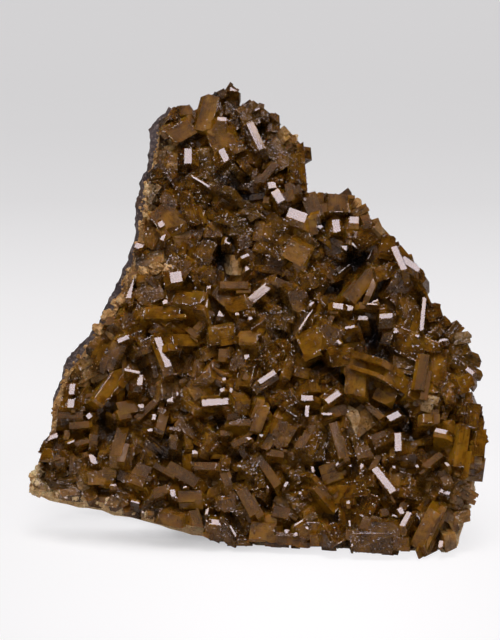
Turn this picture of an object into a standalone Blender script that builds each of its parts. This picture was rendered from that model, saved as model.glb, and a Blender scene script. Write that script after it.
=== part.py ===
# Barite crystal cluster: thick tabular brown crystals grown together on a pale vein layer, on dark rock.
# Frame: X to the right, Y away from the viewer, Z up, in metres. The crystals face -Y.
# The origin is the middle of the flat foot, where the rock was sawn level.

import math
import random

import bmesh
import bpy
from mathutils import Matrix, Vector, noise

# Driving sizes, in metres.
foot_depth = 0.050        # front to back, on the flat foot
wall_lean = 0.22          # how far that face leans back for each metre up
wall_turn = 0.13          # how far it falls back for each metre to the left
seam_thickness = 0.0040   # the pale vein layer
crust_thickness = 0.0050  # the massive root of the crystals, below their free ends
gap = 0.0003              # between neighbouring pieces
foot_clearance = 0.0004   # the lowest crystal tips stay this far above the foot
root_depth = 0.0042       # how deep a crystal's root goes into the crust
least_facing = 0.5        # the least cosine by which a tilted crystal is made deeper
least_rock = 0.020        # the rock behind the crystal wall is nowhere thinner
rock_lumps = ((0.026, 0.0040), (0.009, 0.0014))   # spacing and height of its uneven places
# The rock's rings behind its front rim: their share of the rim's width and of the way to the back.
rock_sides = ((1, 0.14), (1, 0.3), (0.99, 0.5), (0.97, 0.7), (0.94, 0.88), (0.88, 1.0))
rock_back = (0.88, 0.76, 0.64, 0.52, 0.40, 0.28, 0.14)   # and across its back, to the middle
back_middle = Vector((-0.015, 0.028, 0.060))      # where its back ends
rim_roughness = 0.0018    # how unevenly the vein layer ends at its rim
swell_height = 0.0040     # how far the crystals' field rises and falls
swell_turns = (0.031, 0.027)   # radians of its humps for each picture step across and down
rock_share = 0.23         # the share of the fine rock's triangles that its facets keep
tiny = 0.00008            # joined edges shorter than this are closed up
flat_angle = math.radians(0.3)   # faces that meet at less than this count as one
straight = -0.99999       # the cosine between two edges that count as one line
kept_way = 0.9999         # the cosine that a face keeps when a spare point goes
kept_roughly = 0.6        # and when a tiny edge is closed up

# The front picture that the crystals' places were read from: its middle, its scale and the eye's place.
picture_step = 0.00035    # the real size of one picture step at the crystal wall
picture_middle = (250, 320)
body_middle = (300, 420)  # the place that the pieces' rings close in on
eye_distance = 0.84
eye_rise = math.radians(11)
eye_target = Vector((-0.0308, -0.017, 0.0797))

# The body's outline in picture steps, clockwise from the top.
body_outline = (
    (228, 90), (248, 103), (266, 117), (284, 130), (302, 150), (304, 172), (316, 194), (345, 196),
    (366, 214), (386, 236), (402, 256), (416, 276), (426, 298), (442, 318), (462, 338), (472, 362),
    (472, 388), (478, 412), (481, 436), (479, 462), (475, 490), (468, 512), (456, 538), (430, 551),
    (392, 553), (352, 550), (310, 546), (262, 543), (225, 543), (196, 529), (150, 519), (105, 508),
    (60, 499), (32, 490), (36, 458), (49, 428), (53, 402), (65, 370), (85, 346), (103, 321),
    (116, 295), (127, 268), (136, 240), (138, 212), (144, 184), (152, 158), (154, 134), (170, 112),
    (194, 105), (212, 98),
)

# How far each piece stays inside that outline, by side, in picture steps.
rock_inset = {"left": 1, "lower_left": 8, "foot": -14, "corner": 3, "right": 15, "top": 12}
seam_inset = {"left": 5, "lower_left": -1, "foot": 1, "corner": 0, "right": 9, "top": 8}
crust_inset = {"left": 12, "lower_left": 5, "foot": 2, "corner": 8, "right": 6, "top": 6}

# Deep places between the crystals: across, down, radius in picture steps.
pits = (
    (222, 258, 10), (230, 182, 7), (355, 262, 12), (338, 288, 7), (289, 300, 6), (375, 333, 7),
    (373, 358, 6), (322, 365, 8), (345, 377, 5), (390, 347, 6), (409, 430, 7), (220, 418, 5),
    (165, 453, 8), (268, 434, 5), (109, 425, 6), (326, 225, 6), (272, 512, 6), (318, 476, 6),
)

# Crystals read from the picture: across, down, long side, short side, turn in degrees.
# Bright faces all tilt the same way, dull ones a little off it, body ones show their depth.
bright_faces = (
    (222, 119, 10, 5, -5), (224, 155, 14, 7, -65), (188, 156, 16, 8, 90), (278, 196, 14, 9, -60),
    (297, 215, 20, 11, -20), (336, 224, 17, 8, -82), (354, 220, 10, 8, 0), (399, 258, 26, 7, -67),
    (411, 264, 21, 7, -35), (130, 288, 21, 6, 82), (163, 352, 32, 7, -68), (140, 380, 11, 6, 85),
    (123, 339, 12, 5, 25), (176, 277, 12, 12, 10), (267, 377, 20, 6, 33), (215, 402, 27, 8, 4),
    (338, 306, 11, 7, -8), (386, 316, 14, 6, 4), (333, 397, 17, 7, 35), (307, 398, 12, 6, 0),
    (394, 416, 13, 7, 25), (398, 442, 18, 7, 90), (441, 431, 12, 5, -12), (384, 480, 30, 8, -52),
    (406, 520, 16, 6, 60), (72, 389, 11, 6, 85), (71, 402, 11, 7, 85), (52, 437, 12, 5, 20),
)
dull_faces = (
    (256, 136, 30, 8, -65), (268, 172, 25, 8, 52), (293, 188, 16, 14, 20), (312, 205, 25, 16, -70),
    (353, 231, 15, 9, 80), (234, 285, 28, 8, 0), (262, 291, 30, 9, 40), (283, 284, 18, 8, -25),
    (204, 320, 24, 7, 47), (193, 333, 12, 6, -40), (247, 374, 12, 6, 65), (333, 315, 12, 5, 65),
    (366, 306, 13, 6, -3), (372, 287, 20, 6, 65), (66, 414, 34, 9, 0), (94, 433, 16, 8, 88),
    (82, 442, 14, 6, 18), (119, 441, 28, 12, 75), (120, 417, 16, 6, -25), (127, 407, 18, 14, 10),
    (146, 410, 26, 7, 42), (163, 418, 22, 10, 75), (173, 442, 14, 7, 90), (142, 470, 16, 14, -20),
    (182, 474, 34, 13, -28), (160, 491, 14, 9, 20), (205, 466, 22, 9, 0), (226, 478, 16, 9, -70),
    (240, 422, 22, 8, 0), (241, 441, 20, 6, 28), (275, 453, 18, 8, -8), (268, 471, 34, 9, -55),
    (248, 501, 28, 12, -60), (306, 436, 26, 8, 60), (338, 440, 36, 9, -75), (374, 411, 20, 6, -42),
    (382, 434, 24, 7, 22), (363, 452, 15, 14, 10), (422, 372, 36, 10, 80), (433, 460, 22, 7, 35),
    (366, 527, 24, 14, 65), (197, 521, 22, 10, -72), (190, 495, 24, 9, 0), (281, 512, 16, 12, -10),
)
body_faces = (
    (207, 113, 38, 16, 75), (222, 140, 25, 20, 20), (182, 132, 24, 18, 30), (167, 218, 30, 26, -50),
    (187, 206, 32, 14, -75), (306, 228, 22, 18, 10), (296, 253, 30, 26, -30), (338, 200, 24, 20, 90),
    (365, 236, 24, 20, 30), (388, 245, 20, 14, 80), (362, 285, 40, 14, 52), (388, 273, 24, 10, 20),
    (99, 357, 28, 9, 68), (112, 356, 30, 11, 68), (162, 312, 36, 13, 3), (111, 385, 40, 13, 56),
    (188, 298, 28, 16, -8), (185, 340, 24, 12, 0), (222, 336, 26, 16, 10), (248, 338, 18, 9, 0),
    (236, 304, 22, 16, 15), (304, 303, 26, 14, -70), (312, 342, 26, 22, 25), (330, 335, 22, 20, -20),
    (343, 357, 26, 18, 6), (355, 377, 34, 20, 85), (384, 395, 20, 16, -25), (401, 384, 36, 13, -32),
    (408, 346, 34, 22, -20), (387, 335, 20, 11, 75), (437, 371, 42, 20, 88), (451, 430, 20, 8, 88),
    (430, 418, 14, 10, 0), (464, 446, 42, 9, 82), (472, 415, 24, 16, 80), (466, 382, 16, 14, 20),
    (242, 410, 16, 14, 0), (260, 419, 28, 12, 70), (282, 435, 26, 22, 60), (338, 411, 20, 11, 15),
    (245, 376, 20, 16, 80), (226, 464, 12, 9, 80), (327, 498, 32, 10, -50), (355, 489, 22, 16, 10),
    (101, 478, 24, 14, 0), (46, 454, 14, 12, 0), (368, 506, 24, 16, 65), (214, 533, 16, 13, 85),
    (226, 534, 22, 12, -55), (425, 529, 42, 14, 65), (308, 152, 16, 14, 30), (301, 168, 30, 12, 88),
    (428, 291, 24, 9, -60), (482, 443, 26, 14, 85), (170, 521, 22, 14, -5), (262, 531, 24, 18, -3),
    (310, 530, 24, 18, 30), (228, 505, 16, 14, 10), (336, 533, 20, 14, -60), (400, 545, 14, 14, 0),
    (372, 545, 40, 24, 0),
)
broad_faces = (
    (212, 168, 38, 25, -20), (255, 115, 22, 18, 25), (275, 150, 20, 18, -40), (240, 228, 20, 16, 10),
    (277, 318, 22, 20, 75), (318, 446, 28, 18, 80), (302, 473, 16, 12, 40), (405, 365, 24, 16, -10),
    (466, 360, 26, 18, -30), (290, 503, 26, 16, -35), (60, 485, 28, 12, -10), (240, 512, 18, 16, 20),
    (310, 242, 22, 8, -45), (150, 267, 30, 18, 10), (85, 372, 24, 16, 30), (147, 190, 16, 14, 60),
    (453, 400, 22, 14, -70), (330, 470, 22, 16, 20), (420, 490, 24, 16, -20), (205, 250, 20, 16, 60),
    (150, 345, 20, 14, 20), (215, 375, 20, 14, -30), (285, 400, 22, 16, 30), (150, 450, 20, 16, -40),
)

# Teeth of the outline, made by crystal corners: across, down, and the corner's outward direction in degrees.
edge_teeth = (
    (230, 83, 90), (250, 99, 70), (264, 104, 50), (279, 113, 60), (297, 134, 60), (314, 148, 25),
    (323, 193, 60), (348, 188, 70), (365, 204, 60), (378, 218, 50), (396, 237, 50), (412, 254, 45),
    (426, 273, 20), (441, 303, 50), (457, 321, 80), (471, 331, 40), (484, 357, 10), (474, 378, -10),
    (483, 407, 30), (484, 421, -20), (490, 442, 0), (482, 469, -10), (479, 495, 0), (473, 521, -20),
    (457, 550, -50), (393, 557, -60), (352, 556, -110), (300, 547, -90), (239, 547, -60),
    (208, 544, -120), (181, 527, -90), (112, 515, -90), (66, 505, -110), (28, 487, 180),
    (31, 446, 160), (52, 404, 170), (67, 364, 140), (87, 341, 140), (104, 315, 140), (145, 172, 160),
    (150, 140, 170), (176, 105, 110), (200, 101, 100), (214, 91, 100),
)

# What a crystal of each kind looks like: its rise above the crust in metres, its tilt in degrees,
# how many of its four sides slope out below the face, how far in picture steps, and how steeply.
kinds = {
    "bright": {"rise": (0.0045, 0.0070), "tilt": (0, 2), "slopes": 2, "flare": (3, 9), "slope": (40, 65)},
    "dull": {"rise": (0.0035, 0.0060), "tilt": (9, 16), "slopes": 1, "flare": (3, 9), "slope": (40, 65)},
    "body": {"rise": (0.0030, 0.0065), "tilt": (15, 42), "slopes": 1, "flare": (2, 5), "slope": (40, 55)},
    "broad": {"rise": (0.0020, 0.0040), "tilt": (15, 42), "slopes": 1, "flare": (2, 5), "slope": (35, 50)},
    "tooth": {"rise": (0.0000, 0.0030), "tilt": (8, 30), "slopes": 0},
    "plate": {"rise": (0.0004, 0.0020), "tilt": (15, 42), "slopes": 0},
    "chip": {"rise": (0.0010, 0.0035), "tilt": (15, 42), "slopes": 1, "flare": (2, 5), "slope": (40, 55)},
}
bright_tilt = 24          # degrees that bright faces look up from the line of sight
edge_tilt = (8, 30)       # degrees that crystals near the outline lean outward
edge_band = 22            # picture steps from the outline where they do
most_skew = 8             # degrees that a crystal's corners are off the square
tooth_sides = (20, 12)    # picture steps
tooth_turn = 32           # degrees from a tooth's outward direction to its crystal's long side
# Low plates between the crystals read from the picture, and small ones among them, in picture steps.
plates = {"count": 58, "long": (24, 34)}
chips = {"count": 24, "long": (13, 19)}
between_inset = 10        # they stay this far inside the outline
between_width = (0.6, 0.85)   # their short side as a share of their long one
tries = 40                # places looked at for each of these, of which the emptiest is taken
pit_room = 1.5            # how much the room beside a deep place counts
crystal_seed = 7

dice = random.Random(crystal_seed)
noise.seed_set(crystal_seed)
eye_forward = Vector((0, math.cos(eye_rise), -math.sin(eye_rise)))
eye_right = Vector((1, 0, 0))
eye_up = eye_right.cross(eye_forward)
eye_place = eye_target - eye_forward * eye_distance
bright_normal = Matrix.Rotation(math.radians(-bright_tilt), 3, "X") @ -eye_forward


# Forms that several pieces share.

def wall_y(x, z):
    # The face of the rock: a flat break that leans back going up and turns away to the left.
    return -foot_depth / 2 + wall_lean * z - wall_turn * x


def seam_back(x, z):
    return wall_y(x, z) - gap


def seam_front(x, z):
    return seam_back(x, z) - seam_thickness


def crust_y(x, z):
    # The front of the crystals' massive root.
    return seam_front(x, z) - gap - crust_thickness


def swell(across, down):
    # How far the crystals' field stands up at a place of the picture: broad humps, sunk at the pits.
    hump = 0.5 + 0.5 * math.sin(across * swell_turns[0]) * math.cos(down * swell_turns[1] + 1)
    sunk = max(math.exp(-((across - x) ** 2 + (down - y) ** 2) / (3 * radius) ** 2) for x, y, radius in pits)
    return swell_height * hump * (1 - sunk)


def sight(across, down):
    # The direction from the eye through one place of the picture.
    side = (across - picture_middle[0]) * picture_step / eye_distance
    rise = (picture_middle[1] - down) * picture_step / eye_distance
    return eye_forward + eye_right * side + eye_up * rise


def place_on(surface, across, down):
    # Where the line of sight through one place of the picture meets a surface y = f(x, z).
    ray = sight(across, down)
    reach = eye_distance
    for _ in range(8):
        spot = eye_place + ray * reach
        reach += (surface(spot.x, spot.z) - spot.y) / ray.y
    return eye_place + ray * reach


def side_of(across, down):
    if across > 435 and down > 495:
        return "corner"
    if down > 500 and across > 210:
        return "foot"
    if down > 480 and across <= 210:
        return "lower_left"
    if across < 160 or (across < 175 and down < 150):
        return "left"
    if down < 210:
        return "top"
    return "right"


def inset_outline(insets):
    # The outline moved inward by each side's own amount, anticlockwise seen from the front.
    moved = []
    count = len(body_outline)
    for index, (across, down) in enumerate(body_outline):
        before = Vector(body_outline[index - 1])
        after = Vector(body_outline[(index + 1) % count])
        along = (after - before).normalized()
        inward = Vector((-along.y, along.x))
        moved.append(Vector((across, down)) + inward * insets[side_of(across, down)])
    return moved[::-1]


def lump(name, rings):
    # A closed body lofted through rings of points, from the front pole to the back one.
    around = len(rings[1])
    levels = len(rings) - 1
    bm = bmesh.new()
    bmesh.ops.create_uvsphere(bm, u_segments=around, v_segments=levels, radius=1)
    for vert in bm.verts:
        level = round(math.acos(max(-1, min(1, vert.co.z))) / math.pi * levels)
        turn = round(math.atan2(vert.co.y, vert.co.x) / math.tau * around) % around
        ring = rings[level]
        vert.co = ring[turn % len(ring)]
    bmesh.ops.triangulate(bm, faces=bm.faces[:])
    return add_body(name, bm)


def add_body(name, bm):
    # An object of a closed body, its faces turned outward.
    bmesh.ops.recalc_face_normals(bm, faces=bm.faces[:])
    mesh = bpy.data.meshes.new(name)
    bm.to_mesh(mesh)
    bm.free()
    body = bpy.data.objects.new(name, mesh)
    bpy.context.collection.objects.link(body)
    return body


def take_body(body):
    # The mesh that an object's modifiers make, with the object itself taken away.
    bpy.context.view_layer.update()
    made = body.evaluated_get(bpy.context.evaluated_depsgraph_get())
    bm = bmesh.new()
    bm.from_mesh(made.to_mesh())
    bpy.data.objects.remove(body, do_unlink=True)
    return bm


def cap_rings(outline, shares, surface):
    # Rings that fill an outline on a surface, from its middle outward.
    middle = Vector(body_middle)
    rings = []
    for share in shares:
        spots = [middle + (Vector(point) - middle) * share for point in outline]
        rings.append([place_on(surface, spot.x, spot.y) for spot in spots])
    return rings


def wall_plane(in_front):
    # A plane parallel to the rock's face, some way in front of it, looking out of the crystal wall.
    point = Vector((0, wall_y(0, 0) - in_front, 0))
    return point, Vector((-wall_turn, -1, wall_lean)).normalized()


def cut_body(bm, point, normal):
    # Take away what lies beyond a plane and close the cut with one face.
    geometry = bm.verts[:] + bm.edges[:] + bm.faces[:]
    cut = bmesh.ops.bisect_plane(bm, geom=geometry, plane_co=point, plane_no=normal, clear_outer=True)
    edges = [piece for piece in cut["geom_cut"] if isinstance(piece, bmesh.types.BMEdge)]
    if edges:
        bmesh.ops.contextual_create(bm, geom=edges)


def make_material(name, colour, roughness):
    material = bpy.data.materials.new(name)
    material.use_nodes = True
    shader = material.node_tree.nodes["Principled BSDF"]
    shader.inputs["Base Color"].default_value = (*colour, 1)
    shader.inputs["Roughness"].default_value = roughness
    shader.inputs["Metallic"].default_value = 0
    return material


# The rock.

def rough(point):
    # A broken, uneven shift of a point on the rock: large lumps with smaller ones on them.
    return sum((noise.noise_vector(point / spacing) * height for spacing, height in rock_lumps), Vector())


def finer(outline):
    # The outline with a point added in the middle of each side.
    points = []
    for index, start in enumerate(outline):
        points += [start, (start + outline[(index + 1) % len(outline)]) / 2]
    return points


def make_host_rock():
    outline = finer(inset_outline(rock_inset))
    rings = cap_rings(outline, (0, 0.5, 1), seam_front)
    rim = rings[-1]
    for share, depth_share in rock_sides:
        ring = []
        for start in rim:
            back = max(foot_depth / 2, start.y + least_rock)
            spot = Vector((start.x * share, start.y + (back - start.y) * depth_share, start.z * share))
            ring.append(spot + rough(spot))
        rings.append(ring)
    edge = rings[-1]
    for share in rock_back:
        spots = [back_middle.lerp(start, share) for start in edge]
        rings.append([spot + rough(spot) for spot in spots])
    body = lump("fine_rock", rings + [[back_middle]])
    facets = body.modifiers.new("facets", "DECIMATE")
    facets.ratio = rock_share
    bm = take_body(body)
    cut_body(bm, *wall_plane(0))
    cut_body(bm, Vector((0, 0, 0)), Vector((0, 0, -1)))
    body = add_body("host_rock", bm)
    body.data.materials.append(make_material("dark_rock", (0.05, 0.042, 0.048), 0.85))


# The pale vein layer.

def make_pale_seam():
    outline = inset_outline(seam_inset)
    rings = cap_rings(outline, (0, 1), crust_y)
    rim = []
    for spot in cap_rings(outline, (1,), seam_front)[0]:
        outward = Vector((spot.x - back_middle.x, 0, spot.z - back_middle.z)).normalized()
        rim.append(spot + outward * dice.uniform(0, rim_roughness))
    rings.append(rim)
    rings += cap_rings(outline, (1, 0), wall_y)
    bm = take_body(lump("fine_seam", rings))
    point, normal = wall_plane(gap)
    cut_body(bm, point, -normal)
    cut_body(bm, *wall_plane(gap + seam_thickness))
    cut_body(bm, Vector((0, 0, foot_clearance)), Vector((0, 0, -1)))
    body = add_body("pale_seam", bm)
    body.data.materials.append(make_material("cream_vein", (0.45, 0.31, 0.15), 0.6))


# The crystals.

def make_crust():
    outline = inset_outline(crust_inset)
    front = cap_rings(outline[::2], (0, 0.97), lambda x, z: crust_y(x, z) - gap)
    back = cap_rings(outline[::2], (1, 0), wall_y)
    bm = take_body(lump("fine_crust", front + back))
    cut_body(bm, *wall_plane(2 * gap + seam_thickness + crust_thickness))
    trim(bm)
    return add_body("crust", bm)


def trim(bm):
    # Keep a crystal in front of the vein layer and above the foot.
    point, normal = wall_plane(2 * gap + seam_thickness)
    cut_body(bm, point, -normal)
    cut_body(bm, Vector((0, 0, foot_clearance)), Vector((0, 0, -1)))
    bmesh.ops.recalc_face_normals(bm, faces=bm.faces[:])


def edge_heading(across, down):
    # Near the outline, the way out of the picture's body, and None further in.
    spot = Vector((across, down))
    nearest = min(body_outline, key=lambda point: (Vector(point) - spot).length)
    if (Vector(nearest) - spot).length > edge_band:
        return None
    index = body_outline.index(nearest)
    before = Vector(body_outline[index - 1])
    after = Vector(body_outline[(index + 1) % len(body_outline)])
    along = (after - before).normalized()
    return eye_right * along.y + eye_up * along.x


def tipped(normal, towards, degrees):
    # A direction turned by some degrees towards another one.
    return Matrix.Rotation(math.radians(degrees), 3, normal.cross(towards)) @ normal


def normal_for(kind, across, down):
    # Which way a visible face looks. Bright faces share one direction within a degree or two.
    heading = edge_heading(across, down)
    spin = dice.uniform(0, math.tau)
    spun = eye_right * math.cos(spin) + eye_up * math.sin(spin)
    tilt = dice.uniform(*kinds[kind]["tilt"])
    if kind in ("bright", "dull"):
        return tipped(bright_normal, spun, tilt)
    if heading:
        return tipped(-eye_forward, heading, dice.uniform(*edge_tilt))
    return tipped(-eye_forward, spun, tilt)


def crystal_body(sides, depth, flares, slope, skew):
    # One thick tabular crystal. Its visible face is centred on the origin and looks along +Z, and
    # behind its edges the body slopes out by the flares: +X, -X, +Y and -Y.
    half = Vector((sides[0] / 2, sides[1] / 2, 0))
    right, left, top, bottom = flares
    bm = bmesh.new()
    bmesh.ops.create_cube(bm, size=1)
    size = (sides[0] + right + left, sides[1] + top + bottom, depth)
    bmesh.ops.scale(bm, vec=size, verts=bm.verts)
    bmesh.ops.translate(bm, vec=((right - left) / 2, (top - bottom) / 2, -depth / 2), verts=bm.verts)
    outs = ((Vector((1, 0, 0)), right), (Vector((-1, 0, 0)), left), (Vector((0, 1, 0)), top),
            (Vector((0, -1, 0)), bottom))
    for out, flare in outs:
        if flare > 0:
            edge = Vector((out.x * half.x, out.y * half.y, 0))
            cut_body(bm, edge, out * math.sin(slope) + Vector((0, 0, math.cos(slope))))
    for vert in bm.verts:
        vert.co.x += vert.co.y * skew
    return bm


def grow(guides, kind, across, down, long_steps, short_steps, turn):
    # Set one crystal on the crust where the picture shows its face.
    shape = kinds[kind]
    rise = dice.uniform(*shape["rise"]) + swell(across, down)
    spot = place_on(lambda x, z: crust_y(x, z) - rise, across, down)
    normal = normal_for(kind, across, down)
    angle = math.radians(turn)
    drawn = eye_right * math.cos(angle) + eye_up * math.sin(angle)
    along = drawn - eye_forward * (drawn.dot(normal) / eye_forward.dot(normal))
    scale = picture_step * (spot - eye_place).length / eye_distance
    sides = (long_steps * scale * along.length, short_steps * scale)
    along.normalize()
    beside = normal.cross(along)
    depth = (rise + root_depth) / max(least_facing, -normal.y)
    flares = [0, 0, 0, 0]
    slope = 0
    if shape["slopes"]:
        slope = math.radians(dice.uniform(*shape["slope"]))
    for side in dice.sample(range(4), shape["slopes"]):
        flares[side] = scale * dice.uniform(*shape["flare"])
    skew = math.tan(math.radians(dice.uniform(-most_skew, most_skew)))
    bm = crystal_body(sides, depth, flares, slope, skew)
    stand = Matrix.Translation(spot) @ Matrix((along, beside, normal)).transposed().to_4x4()
    bmesh.ops.transform(bm, matrix=stand, verts=bm.verts)
    trim(bm)
    crystal = add_body(f"{kind}_{len(guides.objects)}", bm)
    crystal.hide_render = True
    crystal.display_type = "WIRE"
    guides.objects.link(crystal)
    bpy.context.collection.objects.unlink(crystal)


def inside_outline(outline, across, down):
    inside = False
    for index, end in enumerate(outline):
        start = outline[index - 1]
        if (start.y > down) != (end.y > down):
            crossing = start.x + (down - start.y) * (end.x - start.x) / (end.y - start.y)
            if across < crossing:
                inside = not inside
    return inside


def grow_all(guides):
    centres = []
    tables = (("bright", bright_faces), ("dull", dull_faces), ("body", body_faces), ("broad", broad_faces))
    for kind, table in tables:
        for across, down, long_steps, short_steps, turn in table:
            grow(guides, kind, across, down, long_steps, short_steps, turn)
            centres.append(Vector((across, down)))
    for across, down, outward in edge_teeth:
        # The crystal's outer corner lies on the tooth, and its body reaches inward.
        heading = math.radians(outward)
        reach = tooth_sides[0] / 2
        inner = (across - math.cos(heading) * reach, down + math.sin(heading) * reach)
        turn = outward + dice.choice((-tooth_turn, tooth_turn))
        grow(guides, "tooth", *inner, *tooth_sides, turn)
        centres.append(Vector(inner))
    add_between(guides, "plate", plates, centres)
    add_between(guides, "chip", chips, centres)


def room_at(spot, centres):
    # How far a place is from the crystals that are there and from the deep places.
    from_crystals = min((spot - centre).length for centre in centres)
    from_pits = min((spot - Vector(pit[:2])).length - pit[2] for pit in pits)
    return min(from_crystals, pit_room * from_pits)


def add_between(guides, kind, family, centres):
    # More crystals in the emptiest places that the picture's own leave, clear of the deep ones.
    outline = inset_outline({side: between_inset for side in rock_inset})
    lefts, downs = zip(*body_outline)
    for _ in range(family["count"]):
        looks = []
        while len(looks) < tries:
            spot = Vector((dice.uniform(min(lefts), max(lefts)), dice.uniform(min(downs), max(downs))))
            if inside_outline(outline, *spot):
                looks.append(spot)
        spot = max(looks, key=lambda look: room_at(look, centres))
        long_steps = dice.uniform(*family["long"])
        short_steps = long_steps * dice.uniform(*between_width)
        grow(guides, kind, *spot, long_steps, short_steps, dice.uniform(0, 180))
        centres.append(spot)


def keep_outer_body(bm):
    # Of the joined crust, keep the one outer skin: no sealed hollows and no loose chips.
    bm.faces.ensure_lookup_table()
    seen = set()
    shells = []
    for face in bm.faces:
        if face in seen:
            continue
        shell = []
        front = [face]
        seen.add(face)
        while front:
            current = front.pop()
            shell.append(current)
            for edge in current.edges:
                for other in edge.link_faces:
                    if other not in seen:
                        seen.add(other)
                        front.append(other)
        shells.append(shell)
    shells.sort(key=len)
    spare = [face for shell in shells[:-1] for face in shell]
    bmesh.ops.delete(bm, geom=spare, context="FACES")


def turned_over(vert, target, limit):
    # Whether a face would turn or vanish if a point moved to its neighbour.
    for face in vert.link_faces:
        if target in face.verts:
            continue
        spots = [target.co if corner is vert else corner.co for corner in face.verts]
        normal = (spots[1] - spots[0]).cross(spots[2] - spots[0])
        if normal.normalized().dot(face.normal) < limit:
            return True
    return False


def spare_target(vert):
    # The neighbour that a point can move to: it lies in a flat face, on a straight edge, or very close.
    near = {edge.other_vert(vert) for edge in vert.link_edges}
    creases = [edge for edge in vert.link_edges if edge.calc_face_angle(0) > flat_angle]
    ways = []
    if not creases:
        ways = [(edge, kept_way) for edge in vert.link_edges]
    elif len(creases) == 2:
        ends = [(edge.other_vert(vert).co - vert.co).normalized() for edge in creases]
        if ends[0].dot(ends[1]) < straight:
            ways = [(edge, kept_way) for edge in creases]
    ways += [(edge, kept_roughly) for edge in vert.link_edges if edge.calc_length() < tiny]
    for edge, limit in ways:
        target = edge.other_vert(vert)
        shared = near & {other.other_vert(target) for other in target.link_edges}
        if len(shared) == 2 and not turned_over(vert, target, limit):
            return target
    return None


def clear_spare_points(bm):
    # Take out the points that the joining left in flat faces and along straight edges.
    moved = 1
    while moved:
        bm.normal_update()
        busy = set()
        targets = {}
        for vert in bm.verts:
            if vert in busy:
                continue
            target = spare_target(vert)
            if target is None or target in busy:
                continue
            targets[vert] = target
            for end in (vert, target):
                busy.add(end)
                busy.update(edge.other_vert(end) for edge in end.link_edges)
        moved = len(targets)
        bmesh.ops.weld_verts(bm, targetmap=targets)


def make_crystals():
    crust = make_crust()
    guides = bpy.data.collections.new("single_crystals")
    bpy.context.scene.collection.children.link(guides)
    grow_all(guides)
    for crystal in guides.objects:
        joining = crust.modifiers.new(crystal.name, "BOOLEAN")
        joining.operation = "UNION"
        joining.solver = "MANIFOLD"
        joining.object = crystal
    bm = take_body(crust)
    for crystal in list(guides.objects):
        bpy.data.objects.remove(crystal, do_unlink=True)
    bpy.data.collections.remove(guides)
    keep_outer_body(bm)
    bmesh.ops.triangulate(bm, faces=bm.faces[:])
    clear_spare_points(bm)
    body = add_body("barite_crystals", bm)
    body.data.materials.append(make_material("brown_barite", (0.20, 0.11, 0.035), 0.15))


for old in list(bpy.data.objects):
    bpy.data.objects.remove(old, do_unlink=True)

make_host_rock()
make_pale_seam()
make_crystals()
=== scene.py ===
# Barite crystal cluster: thick tabular brown crystals on a pale vein layer and dark rock.
# X to the right, Y away from the viewer, Z up, in metres. The origin is the middle of the flat foot.
# Places and sizes in picture steps count across and down the front picture, and turns are in degrees.
import math
import random

import bmesh
import bpy
from mathutils import Matrix, Vector, noise
from mathutils.bvhtree import BVHTree


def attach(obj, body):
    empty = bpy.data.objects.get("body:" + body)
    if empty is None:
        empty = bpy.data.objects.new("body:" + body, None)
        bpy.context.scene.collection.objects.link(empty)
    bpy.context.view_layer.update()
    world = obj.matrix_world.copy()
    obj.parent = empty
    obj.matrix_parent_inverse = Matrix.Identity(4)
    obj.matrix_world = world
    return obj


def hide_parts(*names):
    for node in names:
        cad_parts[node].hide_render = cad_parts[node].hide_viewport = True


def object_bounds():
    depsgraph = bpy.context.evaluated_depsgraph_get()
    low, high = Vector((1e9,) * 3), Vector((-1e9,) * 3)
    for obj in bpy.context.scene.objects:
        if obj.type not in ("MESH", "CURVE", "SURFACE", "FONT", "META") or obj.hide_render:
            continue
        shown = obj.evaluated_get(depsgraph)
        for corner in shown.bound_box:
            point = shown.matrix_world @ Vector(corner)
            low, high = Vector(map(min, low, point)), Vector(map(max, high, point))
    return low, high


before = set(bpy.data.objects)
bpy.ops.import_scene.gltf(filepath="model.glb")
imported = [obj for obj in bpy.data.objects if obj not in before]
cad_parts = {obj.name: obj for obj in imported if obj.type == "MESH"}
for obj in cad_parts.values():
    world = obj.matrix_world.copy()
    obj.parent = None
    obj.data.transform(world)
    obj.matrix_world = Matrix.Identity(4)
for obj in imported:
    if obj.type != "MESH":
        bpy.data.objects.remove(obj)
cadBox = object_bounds()
print("loaded the solids of", len(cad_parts), "nodes")

# The front picture: its middle, the real size of one of its steps at the crystal wall, and the eye.
picture = {"middle": (250, 320), "step": 0.00035, "distance": 0.84, "elevation": 11,
           "target": Vector((-0.0308, -0.017, 0.0797)), "bodyMiddle": (300, 420), "looks": 8}
# The flat break that the crystals grew from: where it starts, how it leans back, and what lies on it.
wall = {"front": -0.025, "lean": 0.22, "turn": 0.13, "vein": 0.0040, "root": 0.0050, "gap": 0.0003,
        "aboveFoot": 0.0004, "swell": 0.0040, "swellTurns": (0.031, 0.027, 1), "swellReach": 3}
keyLight = {"elevation": 59, "distance": 0.92, "width": 0.40, "height": 0.34}

dice = random.Random(7)      # the crystals that the solid model has too
wild = random.Random(21)     # all that the scene adds
noise.seed_set(7)

eyeTurn = math.radians(picture["elevation"])
eyeForward = Vector((0, math.cos(eyeTurn), -math.sin(eyeTurn)))
eyeRight = Vector((1, 0, 0))
eyeUp = eyeRight.cross(eyeForward)
eyePlace = picture["target"] - eyeForward * picture["distance"]
keyTurn = math.radians(keyLight["elevation"])
keyPlace = picture["target"] + Vector((0, -math.cos(keyTurn), math.sin(keyTurn))) * keyLight["distance"]

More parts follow.
